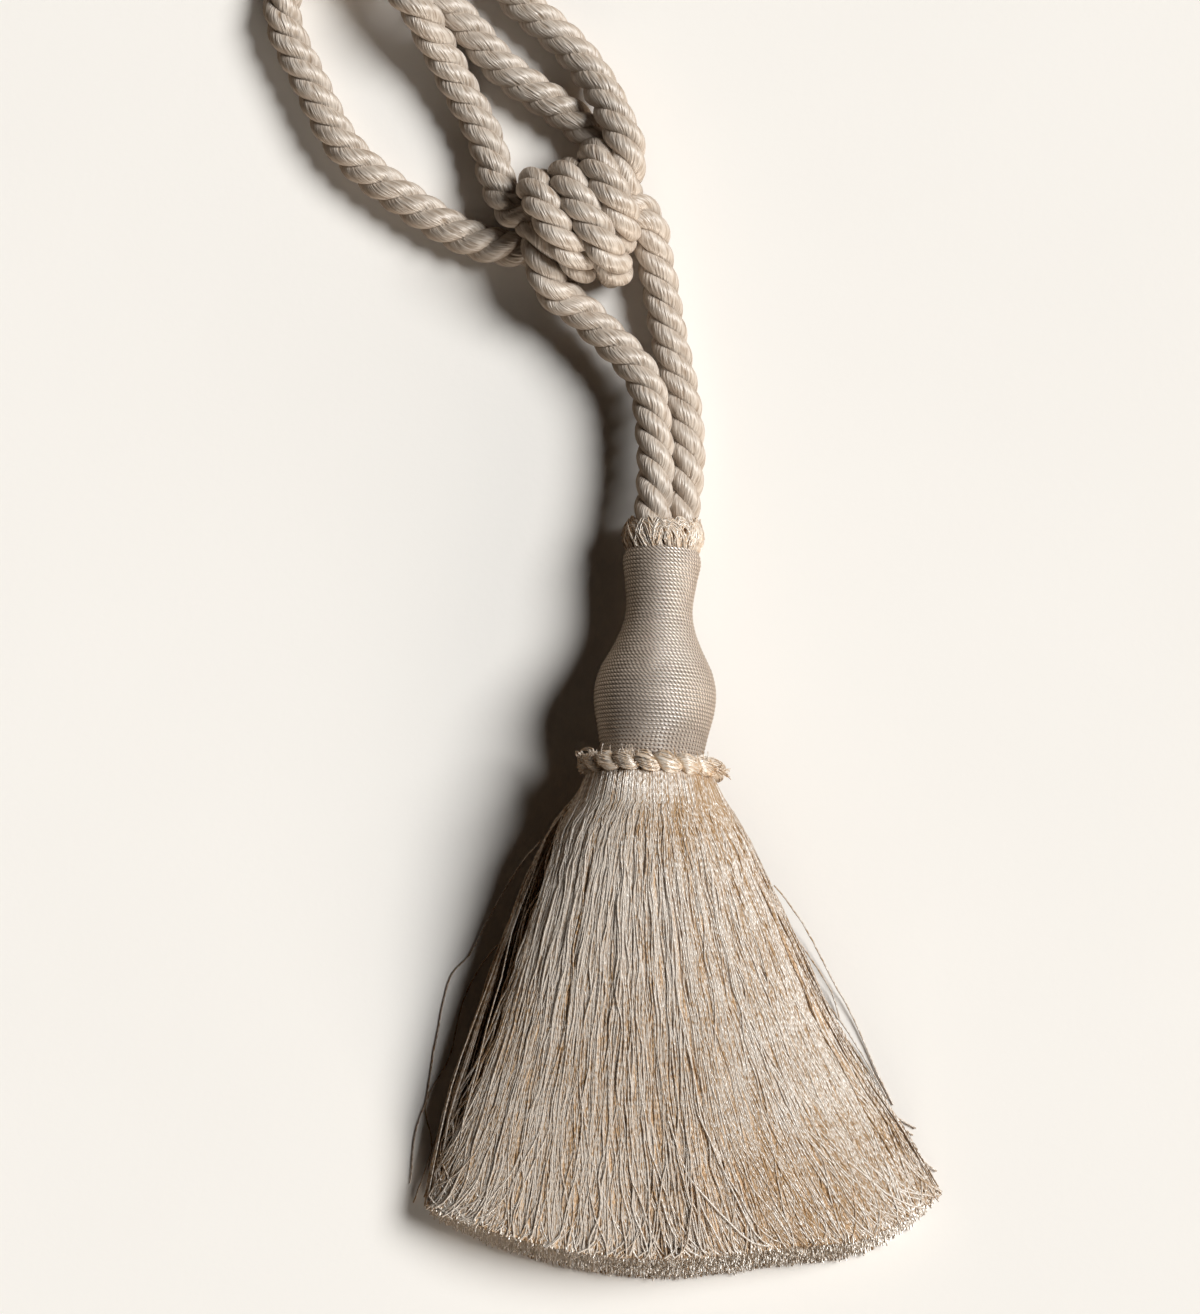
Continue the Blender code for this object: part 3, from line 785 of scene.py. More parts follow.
def make_winding(finish):
    """One helix up the head, with its rows a pitch apart over the skin and its points evenly apart."""
    outline = read_rows(HEAD_OUTLINE, np.linspace(0, 1, 400))
    skin = run_along(outline)
    turn = np.linspace(0, skin[-1] / ROW_PITCH, 4000)
    radius = np.interp(turn * ROW_PITCH, skin, outline[:, 1]) - WINDING_RADIUS
    length = np.concatenate([[0], np.cumsum(np.diff(turn) * 2 * math.pi * radius[1:])])
    turn = np.interp(np.arange(0, length[-1], WINDING_STEP), length, turn)
    radius = np.interp(turn * ROW_PITCH, skin, outline[:, 1]) - WINDING_RADIUS
    along = np.interp(turn * ROW_PITCH, skin, outline[:, 0])
    line = around_head(2 * math.pi * turn, radius, along)
    source = path_mesh("head_winding", line * MM, [0], girth=np.full(len(line), WINDING_RADIUS * MM))
    ride_and_replace(grown(source, YARN_TREE, Sides=8, Finish=finish), "wound_cord", "tassel_head")


WINDING_SILK = winding_material()
make_mould(WINDING_SILK)
make_winding(WINDING_SILK)

# %% [markdown]
# ## The ring at the foot of the head
# Floss is bound into a ring of nineteen round lumps. Each lump could be a mesh of its own, but one
# formula gives a closed skin: its girth shrinks between lumps, along a line that leans. An attribute
# keeps that pinch so that the silk is painted deep and warm there, as painted shade between the lumps.

# %% Ring
RING_RADIUS, RING_ALONG, RING_SIZE = 18.9, 0.7, 2.95  # mm; the last is half its girth on a lump
RING_LUMPS = 19
RING_LEAN, RING_PINCH = -1.35, 0.5  # how far pinches lean, and how deep they are
# The ring's deep colour is painted shade in the pinches between lumps.
RING_SILK = silk_material("ring_silk", (0.80, 0.735, 0.66), (0.60, 0.41, 0.23), (0.30, 0.75),
                          slant=-0.25, width=0.0005, roughness=0.30, crown="pinch")


def woven_ring(name, points, pinch, finish):
    """A closed ring skinned from points[round the ring, round its girth] in metres."""
    count, sides = points.shape[:2]
    data = bpy.data.meshes.new(name)
    at = np.arange(count * sides).reshape(count, sides)
    after, side = np.roll(at, -1, axis=0), np.roll(at, -1, axis=1)
    beyond = np.roll(after, -1, axis=1)
    faces = np.stack([at, side, beyond, after], axis=-1).reshape(-1, 4)
    data.from_pydata(points.reshape(-1, 3).tolist(), [], faces.tolist())
    layer = data.attributes.new("pinch", "FLOAT", "POINT")
    layer.data.foreach_set("value", pinch.astype(np.float32).ravel())
    run = np.arange(count) / count * 2 * math.pi * RING_RADIUS * MM
    u = np.arange(sides) / sides
    first = np.stack(np.broadcast_arrays(u[None], run[:, None]), axis=-1)
    corners = ((0, 0), (1 / sides, 0), (1 / sides, run[1]), (0, run[1]))
    uv = np.stack([first + corner for corner in corners], axis=2)
    data.uv_layers.new(name="UVMap").data.foreach_set("uv", uv.astype(np.float32).ravel())
    data.shade_smooth()
    data.materials.append(finish)
    return counted(name, data)


def make_ring():
    turn = np.linspace(0, 2 * math.pi, RING_LUMPS * 22, endpoint=False)[:, None]
    side = np.linspace(0, 2 * math.pi, 26, endpoint=False)[None]
    wander = 0.5 * np.sin(3 * turn + 1) + 0.35 * np.sin(7 * turn)
    pinch = 1 - np.abs(np.cos((RING_LUMPS * turn + wander) / 2 + RING_LEAN / 2 * np.sin(side)))
    girth = RING_SIZE * (1 - RING_PINCH * pinch ** 1.5) * (1 + 0.05 * np.sin(5 * turn + 2))
    reach = RING_RADIUS + girth * np.cos(side)
    turn = turn + 0 * side
    points = on_head(reach * np.cos(turn), reach * np.sin(turn), RING_ALONG + girth * np.sin(side))
    points[..., 2] = np.maximum(points[..., 2], 0.02)
    ring = woven_ring("skirt_ring_cord", points * MM, pinch, RING_SILK)
    ride_and_replace(ring, "floss", "skirt_ring")


make_ring()

# %% [markdown]
# ## Fine threads
# The skirt, the ruff and the frayed places are of single threads. They are laid with one helper,
# from a list of lines that may each have their own number of points. Each thread has a tone of its
# own, and each of its points carries painted shade for how deep it lies in the heap: deeper points
# are painted warmer and darker.

# %% Threads
# Painted light in some of the spots: the first is painted shade under the ring, with golden tone; the
# second makes the lower right deeper and warmer; the third is painted shade on the left flank, away from
# the lamp; the last is a painted silvery highlight.
TONE_SPOTS_AND_PAINTED_LIGHT = (  # m: spots where the yarn is deeper and more golden (above 0) or lighter and silvery (below 0), how far, how much
    ((-0.001, 0.024, 0.038), 0.026, 0.45), ((0.042, -0.092, 0.012), 0.036, 0.55),
    ((-0.056, -0.030, 0.012), 0.024, 0.35), ((-0.024, 0.004, 0.037), 0.042, -0.35),
)
YARN_LAY = 0.0019  # m for one turn of a yarn's twist


def thread_material(name, light, deep, roughness):
    """Yarn or floss between a light and a deep colour: its shade adds up the thread's tone, its twist with
    painted shade in its plies' grooves, uneven patches that are partly random tone and partly painted
    glints, clouds, and the spots of tone and painted light. Painted shade is added where a flank faces away
    from above and where a point lies deep in the heap. Deep shades are less glossy."""
    made, tree, shader = new_material(name)
    place = tube_place(tree)
    tone = attribute(tree, "tone")
    patch = add(tree, "ShaderNodeCombineXYZ", {
        "X": maths(tree, "MULTIPLY", place["Y"], 620.0), "Y": maths(tree, "MULTIPLY", tone, 977.0),
        "Z": place["X"]})
    uneven = noise(tree, patch.outputs[0], 1.0, 2.0)
    turns = maths(tree, "ADD", maths(tree, "DIVIDE", place["Y"], YARN_LAY), place["X"])
    turns = maths(tree, "MULTIPLY_ADD", tone, 91.7, turns)
    twist = maths(tree, "SINE", maths(tree, "MULTIPLY", turns, 2 * math.pi))
    # Painted shade from the twist in the plies' grooves, then uneven patches: partly random tone, partly
    # painted glints of the twisted yarn.
    shade = maths(tree, "ADD", maths(tree, "MULTIPLY", tone, 0.8), maths(tree, "MULTIPLY", twist, 0.14))
    shade = maths(tree, "ADD", shade, maths(tree, "MULTIPLY_ADD", uneven, 3.0, -1.5))
    shade = clouded(tree, shade, scale=70.0, detail=2.0, amount=0.7, offset=-0.35)
    # Painted shade: flanks that face sideways rather than up are painted deeper.
    shade = maths(tree, "ADD", shade, ranged(tree, upright(tree), 0.9, 0.1, 0.0, 0.45))
    # Painted shade where a point lies deep in the heap.
    shade = maths(tree, "ADD", shade, attribute(tree, "hidden"))
    here = object_place(tree)
    # The spots add golden tone, painted shade and a painted highlight.
    for spot, size, amount in TONE_SPOTS_AND_PAINTED_LIGHT:
        away = add(tree, "ShaderNodeVectorMath", {0: here, 1: spot}, operation="DISTANCE").outputs["Value"]
        shade = maths(tree, "ADD", shade, ranged(tree, away, size, size / 4, 0.0, amount))
    fill(tree, shader, {
        "Base Color": mixed(tree, shade, light, deep),
        "Roughness": maths(tree, "MULTIPLY_ADD", uneven, 0.2, roughness - 0.1),
        "Normal": bumped(tree, twist, 0.5, 0.0001),
        "Specular IOR Level": ranged(tree, shade, 0.1, 0.9, 1.0, 0.2), "IOR": GLOSS})
    return made


YARN = thread_material("yarn", (0.665, 0.60, 0.535), (0.38, 0.24, 0.12), 0.32)
# Painted shade: deeper, warmer copies of the yarn, for yarn that lies inside the heap and for the cores.
DEEP_YARN_PAINTED_SHADE = thread_material("deep_yarn_painted_shade", (0.66, 0.45, 0.26), (0.42, 0.26, 0.13), 0.5)
CORE_YARN_PAINTED_SHADE = thread_material("core_yarn_painted_shade", (0.58, 0.41, 0.25), (0.44, 0.28, 0.14), 0.6)


def threads(name, lines, radius, tone, sides, slot, node, finish=YARN, hidden=0.0):
    """Tubes along lines (mm). Radius (mm) and tone have one value for each line, or one for all;
    the painted shade for depth has one value for each point of all lines, or one for all."""
    sizes = [len(line) for line in lines]
    breaks = np.concatenate([[0], np.cumsum(sizes)[:-1]])
    source = path_mesh(name, np.vstack(lines) * MM, breaks, girth=np.repeat(radius, sizes) * MM,
                       tone=np.repeat(np.clip(tone, 0, 1), sizes), hidden=np.full(sum(sizes), hidden))
    ride_and_replace(grown(source, YARN_TREE, Sides=sides, Finish=finish), slot, node)


# %% [markdown]
# ## The ruff
# Loops of floss stand round the rope where it goes into the head. Each one rises out of the head,
# bends over and comes down again beside its foot, and all lean to one side. A lumpy solid would look
# hard here, so every loop is a thread of its own over a plain core.

# %% Ruff
RUFF_OUTLINE = ((67.2, 9.4), (67.9, 11.3), (69.0, 12.1), (71.0, 11.7), (73.2, 10.5), (RUFF_TOP, 9.6))
RUFF_TUFTS, THREADS_IN_TUFT = 26, 34
TUFT_FOOT, TUFT_TALL = 65.5, 9.5  # mm: along the head's axis, and up from there
RUFF_CORE_INSET = 1.6  # mm that the core lies inside the ruff
RUFF_YARN = thread_material("ruff_yarn", (0.86, 0.78, 0.69), (0.62, 0.42, 0.24), 0.3)


def make_ruff():
    angles = np.linspace(0, 2 * math.pi, 48, endpoint=False)
    outline = read_rows(RUFF_OUTLINE, np.linspace(0, 1, 10))
    rings = [around_head(angles, radius - RUFF_CORE_INSET, along) * MM for along, radius in outline]
    ride_and_replace(skinned("ruff_core", rings, CORE_YARN_PAINTED_SHADE), "floss", "tassel_ruff")
    rng = np.random.default_rng(5)
    lines, radius, tone = [], [], []
    for tuft in range(RUFF_TUFTS):
        foot = 2 * math.pi * (tuft + rng.uniform(-0.25, 0.25)) / RUFF_TUFTS
        lean, top, wide = rng.uniform(0.25, 0.6), rng.uniform(7.4, 9.9), rng.uniform(0.10, 0.22)
        for _ in range(THREADS_IN_TUFT):
            t = np.linspace(0, 1, 11)
            reach = rng.uniform(0.75, 1.12) * top
            along = TUFT_FOOT + reach * np.sin(np.pi * t * rng.uniform(0.84, 0.99)) ** 0.75
            turn = foot + lean * np.sin(np.pi * t * 0.5) + wide * rng.uniform(0.6, 1.4) * (t - 0.5)
            turn = turn + rng.normal(0, 0.045)
            height = np.clip((along - TUFT_FOOT) / TUFT_TALL, 0, 1)
            out = 10.3 + 1.4 * np.sin(np.pi * height ** 0.75) - 0.5 * height + rng.normal(0, 0.3)
            lines.append(around_head(turn, out, along))
            radius.append(rng.uniform(0.15, 0.22))
            tone.append(rng.normal(0.12, 0.2))
    threads("ruff_floss", lines, radius, tone, 4, "floss", "tassel_ruff", RUFF_YARN)


make_ruff()

# %% [markdown]
# ## The skirt
# The skirt is a heap of cut yarns. A hair system could grow them, but it would hardly lie as this
# heap does, so its outer shape is a table with a row for each section from the ring to the cut ends.
# Each yarn keeps its own place across the heap and its own depth in it, and gathers towards the
# middle of its lock on the way down, so that gaps open between the locks.

# %% The skirt's shape
SKIRT_ROWS = (  # mm: left x and y, right x and y, bulge, height of the top and of the widest line
    (-30.8, 31.6, 12.5, 30.0, 0.0, 41.2, 21.4),
    (-38.4, 22.0, 18.4, 20.6, 0.5, 40.4, 17.5),
    (-45.4, 7.5, 26.0, 5.0, 1.5, 38.5, 14.0),
    (-53.4, -13.0, 35.9, -16.0, 4.0, 35.7, 11.0),
    (-59.4, -31.0, 44.4, -34.0, 7.0, 32.9, 9.5),
    (-67.6, -55.0, 56.0, -53.5, 11.0, 29.1, 8.5),
    (-72.8, -76.0, 67.0, -70.5, 15.5, 25.5, 7.5),
    (-76.2, -94.6, 77.0, -88.0, 21.5, 22.0, 6.5),
)
SKIRT_CUT_SLOPE = 8.0  # mm that the top yarns end short of the bottom ones
SKIRT_SAG = 5.8  # mm that the cut ends reach further towards the right corner
SKIRT_SAG_AT, SKIRT_SAG_WIDTH = 0.88, 0.14  # across the width from 0 to 1
SKIRT_LENGTH = 150.0  # mm, for ends that reach a little past the last section
LOCKS = (  # a lock's middle across the width from 0 to 1, and how tightly it gathers
    (0.02, 0.5), (0.072, 0.5), (0.13, 0.6), (0.195, 0.5), (0.258, 0.6), (0.32, 0.5), (0.385, 0.6),
    (0.448, 0.7), (0.508, 0.5), (0.568, 0.5), (0.63, 0.7), (0.692, 0.7), (0.755, 0.5), (0.818, 0.6),
    (0.878, 0.5), (0.933, 0.5), (0.98, 0.4),
)


def skirt_point(angle, along, depth):
    """World mm in the skirt. The angle runs round its section from the right over the top, along
    runs from 0 at the ring to 1, and depth is how far inside (mm) a point lies."""
    rows = np.moveaxis(read_rows(SKIRT_ROWS, along), -1, 0)
    left_x, left_y, right_x, right_y, bulge, top, middle = rows
    sine = np.sin(angle)
    across = (1 + np.cos(angle)) / 2
    flat = np.clip(1 - along / 0.12, 0, 1)
    x = left_x + (right_x - left_x) * across
    y = left_y + (right_y - left_y) * across - bulge * sine ** 2
    over = middle + (top - middle) * np.abs(sine) ** 0.9
    under = middle + (middle + (1 - flat) * 5.0 - flat * 2.0) * sine
    z = np.where(sine >= 0, over, np.maximum(under, 0.3))
    y = y + SKIRT_CUT_SLOPE * along ** 6 * z / top - SKIRT_LENGTH * np.maximum(along - 1, 0)
    y = y - SKIRT_SAG * along ** 6 * np.exp(-((across - SKIRT_SAG_AT) / SKIRT_SAG_WIDTH) ** 2)
    x0, z0 = (left_x + right_x) / 2, middle * 0.6 + top * 0.4
    reach = np.hypot(x - x0, z - z0) + 1e-6
    share = 1 - depth / reach
    return np.stack([x0 + (x - x0) * share, y, np.maximum(z0 + (z - z0) * share, 0.3)], axis=-1)


print("the skirt's top runs from", skirt_point(math.pi / 2, 0.0, 0.0).round(1),
      "to", skirt_point(math.pi / 2, 1.0, 0.0).round(1))

# %% [markdown]
# ### Laying the yarns
# Cut yarns never lie alone: a few cling together in a tuft and the tufts gather in locks. Each tuft
# has its own course down the skirt, and each yarn its own place in the tuft, which spreads open
# near the cut ends so that yarns cross there. All yarns of a layer are worked out together as
# arrays, with a row for each yarn and a column for each point along it.

# %% Where yarns run
YARN_RADIUS = 0.28  # mm
PARTING = 0.60  # where the skirt is parted, across its width
LEFT_MARGIN = 0.055  # share of the width at the left that only loose yarns reach, at most
TUFT_WIDTH = 0.0045  # scatter of the yarns of a tuft, as a share of the skirt's width
LOCK_HALF, LOCK_DEPTH = 0.031, 0.9  # half a lock's width; mm that its sides lie deeper
CRIMP = 0.20  # mm that a yarn of the top layer waves to and fro
DIVE = 0.30  # mm that a yarn rises and sinks among its neighbours
TUFT_WAVE, YARN_WAVE = 0.35, 0.34  # mm that tufts and single yarns wave to and fro
START, END = 0.02, 1.012  # where yarns begin and end along the skirt
STRAY, RARE_STRAY, HOOK = 0.012, 0.0035, 0.018  # how far yarns leave their tufts, as shares of the width
LEFTWARD, RIGHTWARD, LEFT_LEAN = 0.07, 0.05, 0.02  # how far more the ends reach to the sides
FANNED = 0.17  # how far ends right of the middle fan out to the right, at most


def clear_of_left(place, along):
    """Places across the skirt, kept off the left flank, where loose yarns lie in the heap's shade."""
    margin = LEFT_MARGIN * np.clip(along / 0.3, 0, 1) * (1 - 0.5 * along ** 4) + 0.012
    return place + margin * np.clip(1 - place / 0.25, 0, 1)


def gathered(across, along):
    """Places across the skirt, drawn to the middle of the nearest lock and away from the parting."""
    middles, pull = np.array(LOCKS).T
    nearest = np.abs(across[:, :1] - middles).argmin(axis=1)
    towards = (middles[nearest][:, None] - across) * pull[nearest][:, None] * 0.2
    beside = across - PARTING
    apart = 0.014 * np.tanh(beside / 0.008) * np.exp(-(beside / 0.035) ** 2)
    return across + (towards + apart) * np.clip(along, 0, 1) ** 1.3


def tuft_courses(rng, tufts, in_tuft, along, spread):
    """Where each yarn's tuft runs across the skirt, from 0 to 1, at each place along it."""
    along = along[::in_tuft]
    middle = np.abs((np.arange(tufts)[:, None] + rng.uniform(-1.2, 2.2, (tufts, 1))) / tufts)
    middle = np.where(middle > 1, 2 - middle, middle)
    drift = rng.normal(0, 0.012, (tufts, 1)) * spread
    bow = rng.normal(0, 0.008, (tufts, 1)) * spread
    course = gathered(middle, along) + drift * along ** 1.3 + bow * np.sin(np.pi * along)
    return np.repeat(course, in_tuft, axis=0)


def waves(rng, along, size):
    """A wave of its own for each row, of some size in mm."""
    rows = (len(along), 1)
    phase = rng.uniform(3.5, 8, rows) * along + rng.uniform(0, 1, rows)
    return size * np.sin(2 * np.pi * phase) * rng.uniform(0.3, 1.5, rows)


def strayed(rng, course, along, spread):
    """How far each yarn leaves its tuft, across the skirt, on its way to the cut ends."""
    rows = (len(course), 1)
    stray = (rng.normal(0, 1, rows) * STRAY + rng.normal(0, 1, rows) ** 3 * RARE_STRAY) * spread
    hook = rng.normal(0, 1, rows) * HOOK * spread
    leftward = -rng.uniform(-0.3, 1, rows) ** 3 * LEFTWARD * np.clip(1 - course / 0.5, 0, 1)
    rightward = rng.uniform(-0.4, 1, rows) ** 3 * RIGHTWARD * np.clip(course / 0.4 - 1.5, 0, 1)
    outward = (leftward + rightward - LEFT_LEAN * np.clip(1 - course / 0.45, 0, 1)) * spread
    fanned = rng.uniform(0, 1, rows) ** 1.3 * FANNED * np.clip(course / 0.12 - 4.5, 0, 1)
    fanned = fanned * np.clip(2.5 - 2.5 * course, 0, 1) * spread / 2
    return stray * along ** 2 + hook * along ** 8 + outward * along ** 5 + fanned * along ** 3


def kept_inside(place, along):
    """Places across the skirt that never leave it: what would pass an edge is turned back."""
    place = clear_of_left(place, along)
    place = np.where(place < 0.001, 0.002 - place, place)
    return np.clip(np.where(place > 0.999, 1.998 - place, place), 0.0005, 0.9995)


print("yarns gather in", len(LOCKS), "locks")

# %% [markdown]
# Under the yarns lies a plain core, so that no light falls through the heap, and some loose yarns
# lie beside it, most of them at its left. The core is painted deep and warm, as painted shade inside the
# heap.

# %% Core and loose yarns at the edges
CORE_DEPTH = 3.4  # mm under the top of the heap
CORE_PLUG = ((14.6, 1.6), (15.4, 0.0), (16.4, -3.2))  # mm: radius and place along the head's axis
EDGE_YARNS = 330
EDGE_LEFT, EDGE_RAISED = 0.68, 0.09  # the share that lies at the left, and of those the raised ones


def make_core():
    """The plain inside of the heap, from a plug under the ring to the cut ends."""
    angles = np.linspace(0, 2 * math.pi, 96, endpoint=False)
    rings = [around_head(angles, radius, along) * MM for radius, along in CORE_PLUG]
    for t in np.linspace(0.01, 0.99, 26):
        place = clear_of_left((1 + np.cos(angles)) / 2, t)
        turned = np.arccos(np.clip(2 * place - 1, -1, 1)) * np.where(angles > math.pi, -1, 1)
        rings.append(skirt_point(turned, np.full_like(angles, t), CORE_DEPTH) * MM)
    ride_and_replace(skinned("skirt_core", rings, CORE_YARN_PAINTED_SHADE), "yarn", "tassel_skirt")


def make_edge_yarns():
    """Loose yarns that lie beside the heap, most of them on its left; a few are raised. Those in the heap's
    shade are painted dark, the raised ones pale: painted shade and light.
    """
    rng = np.random.default_rng(17)
    rows = (EDGE_YARNS, 1)
    left = rng.uniform(0, 1, rows) < EDGE_LEFT
    last = (1.0 - np.abs(rng.normal(0, 0.02, rows))) * 0.985
    along = START + last * np.linspace(0, 1, 19)[None]
    lower = np.abs(rng.normal(0.0, 0.45, rows))
    angle = np.where(left, math.pi - 0.1 + lower, rng.normal(0.0, 0.25, rows))
    raised = left & (rng.uniform(0, 1, rows) < EDGE_RAISED)
    away = np.where(left, rng.uniform(-8.0, 1, rows), rng.uniform(-1.5, 1, rows))
    lift = np.where(raised, rng.uniform(3.0, 9.0, rows), 0.0)
    bow = rng.uniform(0.8, 2.6, rows)
    wave = 0.35 * np.sin(2 * np.pi * (rng.uniform(2, 6, rows) * along + rng.uniform(0, 1, rows)))
    held = np.clip(along, 0, 1)
    points = skirt_point(angle, along, -away * np.sin(np.pi * held ** bow * 0.62) - wave + 0.3)
    points[..., 2] += lift * np.sin(np.pi * 0.9 * held ** 1.2)
    # Painted shade and light: yarns in the heap's shade get dark tones, the raised ones that the lamp
    # reaches pale.
    tones = np.where(raised[:, 0], 0.1, rng.normal(0.6, 0.2, EDGE_YARNS))
    start = around_head(angle[:, :1], 18.0, -2.2)
    threads("skirt_yarns_edge", list(np.concatenate([start, points], axis=1)),
            YARN_RADIUS * rng.uniform(0.8, 1.1, EDGE_YARNS), tones, 3, "yarn", "tassel_skirt")


make_core()
make_edge_yarns()

# %% [markdown]
# The skirt has four layers. The deeper layers are painted warmer and darker, as painted shade in the
# heap, the top ones are pale, finely waved and cross most freely, and the last layer closes the
# underside, painted dark too.

# %% Layers of yarns
UNDER_RING = ((16.8, 0.5), (19.3, -2.4))  # mm: radius and place along the head's axis
DEPTH_PAINTED_SHADE = 0.38  # how much warmer and darker a yarn is painted for each mm that it lies deeper, as painted shade


def lay_yarns(name, tufts, in_tuft, seed, side, segments, depth, tone, spread=1.0, crimp=0.0, sides=3,
              finish=YARN):
    """A layer of yarns: side is 1 for the top and -1 for the underside; depth is (least, most) in mm."""
    rng = np.random.default_rng(seed)
    count = tufts * in_tuft
    last = END - np.abs(rng.normal(0, 0.013, (count, 1)))
    along = START + (last - START) * np.linspace(0, 1, segments + 1)[None]
    course = tuft_courses(rng, tufts, in_tuft, along, spread)
    level = np.repeat(rng.uniform(0, 1, (tufts, 1)) ** 1.2, in_tuft, axis=0)
    beside = np.abs(course[..., None] - np.array(LOCKS)[:, 0]).min(axis=-1)
    hollow = np.clip(beside / LOCK_HALF, 0, 1) ** 2 * np.clip(along / 0.2, 0, 1)
    own = rng.normal(0, 1, (count, 1)) * TUFT_WIDTH
    turn = rng.uniform(0, 2 * np.pi, (count, 1)) + rng.normal(0, 6, (count, 1)) * along
    crimps = rng.uniform(8, 14, (count, 1)) * along + rng.uniform(0, 1, (count, 1))
    wavy = np.repeat(waves(rng, along[:tufts], TUFT_WAVE), in_tuft, axis=0)
    wavy = wavy + waves(rng, along, YARN_WAVE) * (0.6 + 0.8 * along) + crimp * np.sin(2 * np.pi * crimps)
    own = own * np.abs(rng.normal(1.4, 0.6, (count, 1)))
    loose = 1 + 0.5 * np.cos(turn) + 2.5 * np.exp(-along / 0.12)
    place = course + own * loose + wavy / (42 + 112 * along) + strayed(rng, course, along, spread)
    angle = np.arccos(2 * kept_inside(place, along) - 1) * side
    low, high = depth
    sunk = low + (high - low) * level + 0.4 * np.sin(turn) + 0.24 * np.abs(own / TUFT_WIDTH / 2) ** 1.5
    sunk = (sunk + waves(rng, along, DIVE)) * (0.3 + 0.4 * np.clip(along / 0.25, 0, 1))
    sunk = sunk + LOCK_DEPTH * hollow + 0.2 - rng.uniform(-0.3, 1, (count, 1)) * 0.9 * spread * along ** 8
    # Painted shade: the deeper a point lies in the heap, the warmer and darker it is painted.
    hidden = np.clip(DEPTH_PAINTED_SHADE * (sunk - low - 0.6), -0.3, 0.6)
    hidden = np.concatenate([hidden[:, :1], hidden[:, :1], hidden], axis=1)
    under_ring = [around_head(angle[:, :1], reach - sunk[:, :1], deep) for reach, deep in UNDER_RING]
    points = np.concatenate([*under_ring, skirt_point(angle, along, sunk)], axis=1)
    tones = np.repeat(rng.normal(tone, 0.20, (tufts, 1)), in_tuft, axis=0) + rng.normal(0, 0.20, (count, 1))
    # Painted shade: deeper tufts and yarns on the sunken sides of locks are painted darker.
    tones = (tones + 0.22 * level)[:, 0] + 0.35 * hollow.mean(axis=1)
    threads(name, list(points), YARN_RADIUS * rng.uniform(0.8, 1.2, count), tones, sides,
            "yarn", "tassel_skirt", finish, hidden.ravel())


# Deeper layers get darker tones or the deep yarn's colour, as painted shade.
lay_yarns("skirt_yarns_deep", tufts=220, in_tuft=5, seed=11, side=1, segments=12, depth=(0.8, 1.7),
          tone=0.3, spread=1.2, finish=DEEP_YARN_PAINTED_SHADE)
lay_yarns("skirt_yarns_upper", tufts=220, in_tuft=4, seed=14, side=1, segments=20, depth=(0.3, 1.1),
          tone=0.40, spread=1.4, sides=4)
lay_yarns("skirt_yarns_top", tufts=183, in_tuft=3, seed=12, side=1, segments=40, depth=(-0.3, 0.6),
          tone=0.05, spread=2.2, crimp=CRIMP, sides=4)
lay_yarns("skirt_yarns_under", tufts=90, in_tuft=7, seed=13, side=-1, segments=9, depth=(0.3, 1.6),
          tone=0.5)

# %% [markdown]
# The cut face is closed with short yarns that fill the heap from the surface to the top layer. They
# could be dots on a flat face, but real cut ends are uneven. They are painted paler than the yarn's
# side, as painted light on a face that the lamps hardly reach.

# %% Cut ends
CUT_ENDS, CUT_SCATTER = 4600, 0.45  # how many; mm that their ends are scattered
# Painted light: a pale copy of the yarn for the cut ends.
CUT_YARN_PAINTED_PALE = thread_material("cut_yarn_painted_light", (0.98, 0.92, 0.85), (0.92, 0.80, 0.66), 0.28)


def make_cut_ends():
    """Short yarns of four points, with their last points scattered."""
    rng = np.random.default_rng(21)
    rows = (CUT_ENDS, 1)
    across = rng.uniform(0.01, 0.99, rows)
    height = rng.uniform(0, 1, rows)
    along = np.linspace(0.95, END, 4)[None] - np.abs(rng.normal(0, 0.006, rows))
    angle = np.arccos(2 * across - 1) + 0 * along
    upper = skirt_point(angle, along, 0.6)
    lower = skirt_point(-angle, along, 0.3)
    points = upper * height[..., None] + lower * (1 - height[..., None])
    points += rng.normal(0, CUT_SCATTER, (*rows, 3)) * np.linspace(0, 1, 4)[None, :, None]
    points[..., 2] += rng.uniform(0, 1.0, rows) * np.array([0, 0, 0.3, 1.0])
    points[..., 2] = np.maximum(points[..., 2], 0.3)
    # Low tones, which are painted light too.
    threads("skirt_cut_ends", list(points), YARN_RADIUS * rng.uniform(0.9, 1.3, CUT_ENDS),
            rng.normal(-0.2, 0.2, CUT_ENDS), 3, "yarn", "tassel_skirt", CUT_YARN_PAINTED_PALE)


make_cut_ends()

# %% [markdown]
# ## Strays
# Single yarns have worked loose from the skirt and lie beside it. There are only a few, and the eye
# finds them at once, so each is a short list of given points, on a smooth curve.

